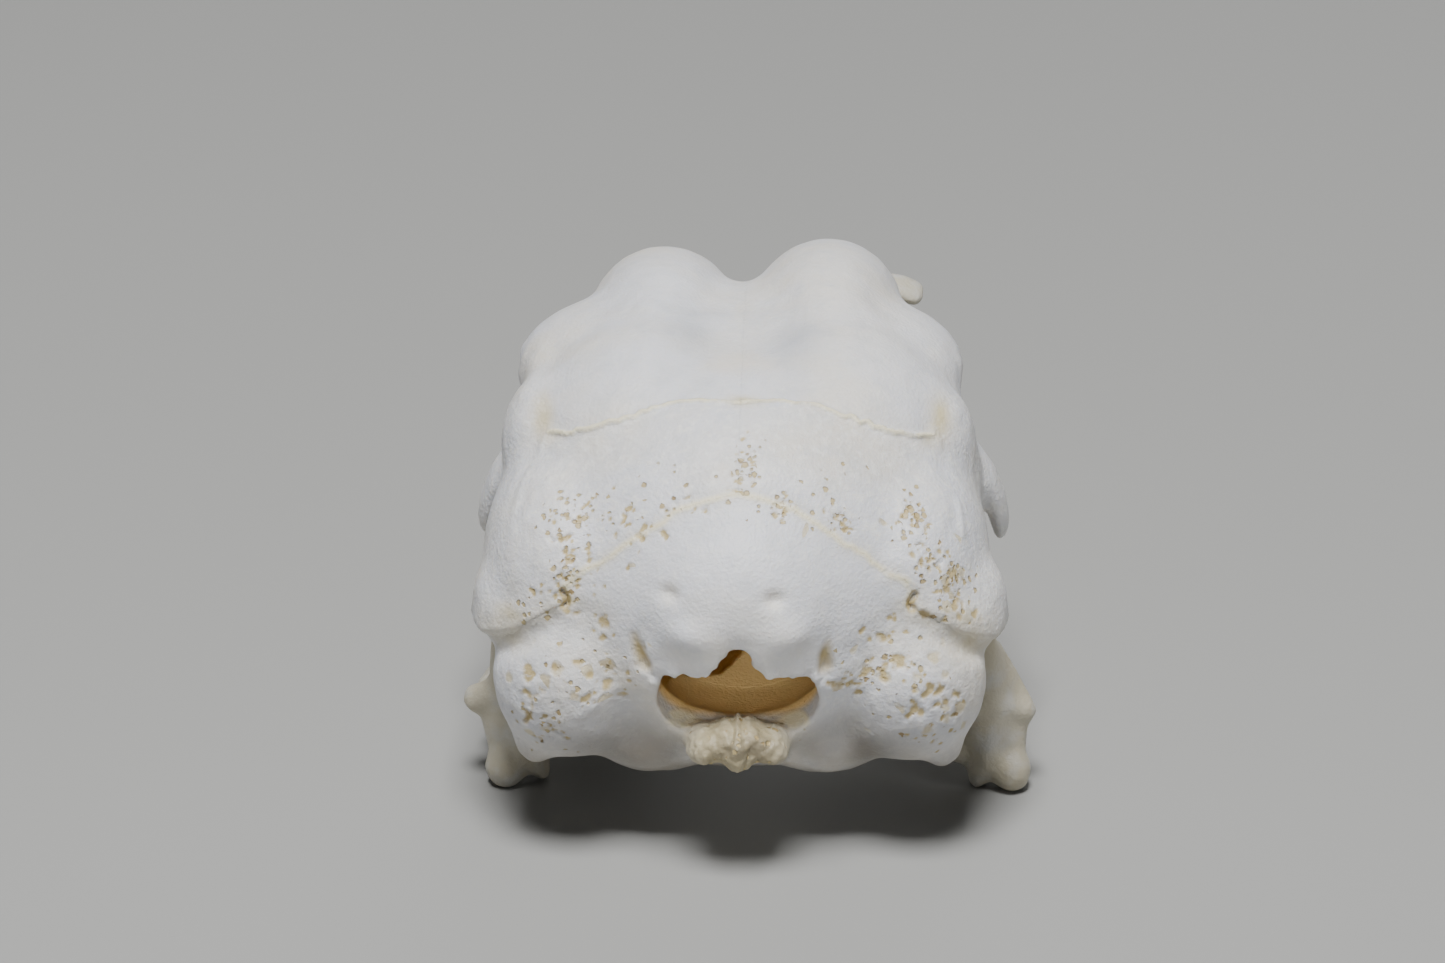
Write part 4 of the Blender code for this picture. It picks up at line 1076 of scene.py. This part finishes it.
    def _bones(self, body: Piece) -> list[Piece]:
        """Splits the cut body and finds the bone of each node, by the likeness of their boxes.

        Args:
            body: the cut body.

        Returns:
            The bones, in the order of the nodes.
        """
        bpy.ops.object.select_all(action="DESELECT")
        body.select_set(True)
        bpy.context.view_layer.objects.active = body
        bpy.ops.mesh.separate(type="LOOSE")
        parts = sorted(bpy.context.selected_objects, key=lambda part: -len(part.data.vertices))
        free, crumbs = parts[: len(self.nodes)], parts[len(self.nodes) :]
        bpy.data.batch_remove(crumbs)
        boxes = {part: np.array([f(corners_of(part), axis=0) for f in (np.min, np.max)]) for part in free}
        found = []
        for node in self.nodes:
            found.append(min(free, key=lambda part: np.abs(boxes[part] - np.array(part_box(node))).sum()))
            free.remove(found[-1])
        return found

    def _dress(self, bone: Piece, node: str) -> None:
        """Stores the layers of the finish, shades the bone and hands it in.

        Args:
            bone: the bone.
            node: its solid.
        """
        bone.name = bone.data.name = node + "_bone"
        points = to_skull(corners_of(bone))
        inner, knob = self._inner(points), 1.5 * bell(points, *self.knob)
        coarse = COARSE.get(node.split("_")[0], self.other_coarse)
        layers = {
            # the lining, partly painted light
            Layer.INNER: inner,
            Layer.PIT: self._pit_stain(points),
            Layer.SEAM: self._seam(points),
            Layer.KNOB: np.maximum(knob, self._wax(points)),
            # painted shade
            Layer.GRIME: self._grime(points),
            Layer.PORES: open_share(points, PORES, 0.9, 71),
            Layer.CELLS: open_share(points, CELLS, 1.5, 72),
            Layer.COARSE: np.maximum(coarse, knob) * (1.0 - inner),
            Layer.STAIN: self._stain(points),
            Layer.SMUDGE: strongest(points, SMUDGES),
        }
        for layer, values in layers.items():
            set_layer(bone, layer, values)
        bone.data.shade_smooth()
        bone.data.set_sharp_from_angle(angle=math.radians(60))
        hand_in(bone, node, self.finish)

    def _inner(self, points: Array) -> Array:
        """Where the bone lines the brain's spaces or their mouth, but not on the lip: there it gets a golden
        coat, partly the bone's tint and partly painted light that stands in for light shining through the
        thin vault.
        """
        lined = [top * (1.0 - smoothstep(*edge, spans(points, *ball))) for ball, edge, top in self.linings]
        return np.maximum.reduce(lined) * smoothstep(2.9, 4.1, points[:, 1] + 0.9 * (points[:, 2] - 8.0))

    def _pit_stain(self, points: Array) -> Array:
        """Where the spongy bone shows in pits and in stained furrows."""
        marks = [form.stain * form.near(points) ** 0.5 for form in FURROWS if form.stain]
        return np.maximum.reduce([self._pit_share(points)[0], *marks])

    def _seam(self, points: Array) -> Array:
        """How far each place is from a pale line: the coronal or lambdoid suture, or the floor's lip, whose
        pale cream is partly its colour and partly painted light where the roof above shades it.
        """
        crown, nape = (self.seams.measure(points, name)[0] for name in ("coronal", "lambdoid"))
        return np.minimum.reduce([crown, 0.04 + 0.6 * nape, 0.9 - bell(folded(points), *self.lip)])

    def _stain(self, points: Array) -> Array:
        """Where the bone is cream: its patches, the crest between the brows, and the base, all in blots.

        Args:
            points: places in mm.

        Returns:
            One share for each place.
        """
        across, ahead, up = points.T
        crest = np.exp(-((across / 0.8) ** 2)) * smoothstep(9.0, 16.0, ahead) * smoothstep(16.0, 19.0, up)
        shares = [0.42 * crest, strongest(points, STAINS), 0.6 * (1.0 - smoothstep(5.0, 8.5, up))]
        return np.maximum.reduce(shares) * (0.75 + 0.35 * grain(points, 1.3, 61))

    def _wax(self, points: Array) -> Array:
        """Where fat left yellow: in its patches, and along two sutures.

        Args:
            points: places in mm.

        Returns:
            One share for each place.
        """
        shares = [strongest(points, WAX)]
        for name, share, width in self.wax_lines:
            shares.append(share * np.exp(-((self.seams.measure(points, name)[0] / width) ** 2)))
        return np.maximum.reduce(shares) * (0.9 + 0.5 * grain(points, 0.8, 62))

    def _grime(self, points: Array) -> Array:
        """Where shade is painted on the bone in grey-brown: on the knob's underside, beside it, and under the
        skull, more of it towards the bottom.
        """
        # painted shade that grows towards the bottom, under the skull
        below = 0.75 * (1.0 - smoothstep(4.0, 7.5, points[:, 2])) * smoothstep(1.5, 4.0, points[:, 1])
        return np.maximum(strongest(points, GRIME), below) * (0.85 + 0.3 * grain(points, 1.7, 63))


# The other bones.


@dataclass
class LooseBone:
    """A bone that is made fine from its own solid, because it has holes and hollows."""

    node: str
    finish: Material
    seed: int
    pitch: float = 0.16
    smoothing: float = 0.35
    limit: float = 0.12
    relief: float = 0.035
    warmth: float = 0.45

    def build(self) -> None:
        """Makes the fine skin, relaxes it within the limit, adds two grains of relief, and dresses it."""
        bone = stock_of(self.node + "_bone", (self.node,))
        reskin(bone, self.pitch)
        relax(bone, round(self.smoothing / self.pitch**2), self.limit)
        points = to_skull(corners_of(bone))
        swell(bone, self.relief * grains(points, ((1.0, 1.4, self.seed), (0.4, 0.5, self.seed + 1))))
        dress_loose(bone, self)


@dataclass
class Bar:
    """A slender bone: an oval profile carried along a path, with round ends.

    A knot is a place and half the width and height there, in mm, and the sway is how far the far end is off.

    Ring i is c_i + a_i * w_i * cos(u) + b_i * h_i * sin(u), where c is the path, a points across and b up,
    and the halves w and h run through those given and fall as sqrt(1 - s^2) over each end.
    """

    node: str
    finish: Material
    seed: int
    knots: tuple[tuple[float, ...], ...]
    side: Where
    sway: float
    ridge: float = 0.12
    sides: int = 40
    spacing: float = 0.12
    warmth: float = 0.5

    def build(self) -> None:
        """Makes the bar and dresses it."""
        line = curve_through(self.knots, self.spacing)
        centre, half = self.side.mirror(line[:, :3])[0], line[:, 3:]
        centre[:, 0] += self.sway * np.linspace(0.0, 1.0, len(centre))
        run = run_along(centre)
        size = half.min(axis=1)
        ends = [1.0 - np.clip(run / size, 0.0, 1.0), 1.0 - np.clip((run[-1] - run) / size, 0.0, 1.0)]
        half = half * np.sqrt(np.clip(1.0 - np.maximum(*ends) ** 2, 0.01, 1.0))[:, None]
        ahead = np.gradient(centre, axis=0)
        ahead /= np.linalg.norm(ahead, axis=1, keepdims=True)
        across = np.cross(ahead, (0.0, 0.0, 1.0))
        across /= np.linalg.norm(across, axis=1, keepdims=True)
        up = np.cross(across, ahead)
        u = np.linspace(0.0, 2 * math.pi, self.sides, endpoint=False)[None, :, None]
        wide, high = half[:, :1, None], half[:, 1:, None]
        rings = centre[:, None] + across[:, None] * wide * np.cos(u) + up[:, None] * high * np.sin(u)
        flat = rings.reshape(-1, 3)
        lean = grains(flat, ((self.ridge, 1.6, self.seed), (0.5 * self.ridge, 0.5, self.seed + 1)), 1.0)
        rings = centre[:, None] + (rings - centre[:, None]) * lean.reshape(len(centre), self.sides, 1)
        dress_loose(tube_mesh(self.node + "_bone", to_model(rings)), self)


def dress_loose(bone: Piece, kind: LooseBone | Bar) -> None:
    """Keeps a loose bone in its box, stores its layers, with its cream in drifts of grain, and hands it in.

    Args:
        bone: the bone.
        kind: what it was made from.
    """
    keep_in_box(bone, (kind.node,))
    points = to_skull(corners_of(bone))
    set_layer(bone, Layer.STAIN, kind.warmth + 0.5 * grain(points, 2.4, kind.seed + 2))
    set_layer(bone, Layer.SEAM, 1.0)
    bone.data.shade_smooth()
    hand_in(bone, kind.node, kind.finish)


@dataclass
class FaceAndPalate:
    """Beak, nose, cheeks, palate, the plate between the eyes, and the bones of the jaw's hinge."""

    white: Material
    beige: Material
    jugal: tuple[tuple[float, ...], ...] = (
        (8.45, 35.9, 5.9, 0.5, 0.55),
        (10.2, 28, 5.8, 0.45, 0.5),
        (11.7, 20.5, 5.2, 0.5, 0.55),
        (12.6, 17.5, 4.7, 0.55, 0.6),
        (13.5, 15.3, 4.25, 0.68, 0.74),
        (13.95, 13.6, 4.1, 0.74, 0.8),
    )
    jugal_sway: float = 0.4

    def build(self) -> None:
        """Builds them all."""
        for number, name in enumerate(("quadrate", "lacrimal", "maxilla", "palatine", "pterygoid", "nasal")):
            finish = self.white if name == "nasal" else self.beige
            for node in paired(name):
                LooseBone(node, finish, 100 + 10 * number).build()
        for number, node in enumerate(("premaxilla", "interorbital_septum", "vomer")):
            LooseBone(node, self.white, 300 + 10 * number).build()
        for node, side in zip(paired("jugal"), (RIGHT, LEFT)):
            Bar(node, self.beige, 400, self.jugal, side, self.jugal_sway).build()


# Studio.


@dataclass
class Lamp:
    """A soft square lamp, or a beam whose size is its radius at its target, in mm and watts."""

    name: str
    place: Point
    size: float
    power: float
    target: Point = (0, 15, 12)
    beam: bool = False
    softness: float = 6.0

    def build(self) -> None:
        """Hangs the lamp up and turns it to its target."""
        lamp = bpy.data.lights.new(self.name, "SPOT" if self.beam else "AREA")
        lamp.energy = self.power
        thing = object_of(self.name, lamp)
        thing.location = to_model(self.place)
        aim = Vector(to_model(self.target)) - thing.location
        thing.rotation_euler = aim.to_track_quat("-Z", "Y").to_euler()
        if self.beam:
            lamp.spot_size = 2.0 * math.atan(self.size * MM / aim.length)
            lamp.spot_blend = 1.0
            lamp.shadow_soft_size = self.softness * MM
        else:
            lamp.size = self.size * MM


@dataclass
class Studio:
    """A pale floor, soft light from above, and the camera behind and above the skull."""

    target: Point = (-0.97, 10, 18.4)
    azimuth: float = 1.2
    elevation: float = 25.0
    distance: float = 380.0
    lens: float = 181.9
    sensor: float = 36.0
    floor_half: float = 1.5
    floor_colour: str = "#989896"
    sky_colour: str = "#DCE0E6"
    sky_strength: float = 0.05
    lamps: tuple[Lamp, ...] = (
        Lamp("top", (-10, -120, 400), 130, 2.95),
        Lamp("left", (-330, -160, 90), 120, 0.08),
        Lamp("right", (330, -160, 90), 120, 0.13),
        Lamp("front", (60, 380, 260), 200, 0.3),
        Lamp("snoot", (-20, -330, 170), 5.2, 4.4, (0, 2.4, 8.5), True),
    )

    def build(self) -> None:
        """Builds all of it."""
        self._floor()
        for lamp in self.lamps:
            lamp.build()
        self._sky()
        self._camera()

    def _floor(self) -> None:
        """A large plain sheet of matt card under the skull."""
        half = self.floor_half
        mesh = bpy.data.meshes.new("floor")
        corners = [(-half, -half, 0), (half, -half, 0), (half, half, 0), (-half, half, 0)]
        mesh.from_pydata(corners, [], [(0, 1, 2, 3)])
        floor = object_of("floor", mesh)
        material = bpy.data.materials.new("matt_card")
        material.use_nodes = True
        shader = material.node_tree.nodes["Principled BSDF"]
        shader.inputs["Base Color"].default_value = linear(self.floor_colour)
        shader.inputs["Roughness"].default_value = 0.85
        mesh.materials.append(material)

    def _sky(self) -> None:
        """An even pale light from all around."""
        world = bpy.data.worlds.new("studio")
        world.use_nodes = True
        world.node_tree.nodes["Background"].inputs["Color"].default_value = linear(self.sky_colour)
        world.node_tree.nodes["Background"].inputs["Strength"].default_value = self.sky_strength
        bpy.context.scene.world = world

    def _camera(self) -> None:
        """The camera, which looks along its azimuth and elevation at the target."""
        lens = bpy.data.cameras.new("camera")
        lens.lens = self.lens
        lens.sensor_width = self.sensor
        lens.clip_start = 0.01
        camera = object_of("camera", lens)
        turn, rise = math.radians(self.azimuth), math.radians(self.elevation)
        away = Vector((math.sin(turn) * math.cos(rise), -math.cos(turn) * math.cos(rise), math.sin(rise)))
        camera.location = Vector(to_model(self.target)) + away * self.distance * MM
        camera.rotation_euler = (-away).to_track_quat("-Z", "Y").to_euler()
        bpy.context.scene.camera = camera


def main() -> None:
    """Builds the skull and its studio."""
    logging.basicConfig(level=logging.INFO, format="%(message)s", stream=sys.stdout)
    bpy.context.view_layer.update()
    white = DryBone("degreased_bone").build()
    beige = DryBone("degreased_bone_beige", dense="#C4C0B2", warm="#B5AC93").build()
    Braincase(white, pitch=0.14).build()
    FaceAndPalate(white, beige).build()
    Studio().build()


if __name__ == "__main__":
    main()
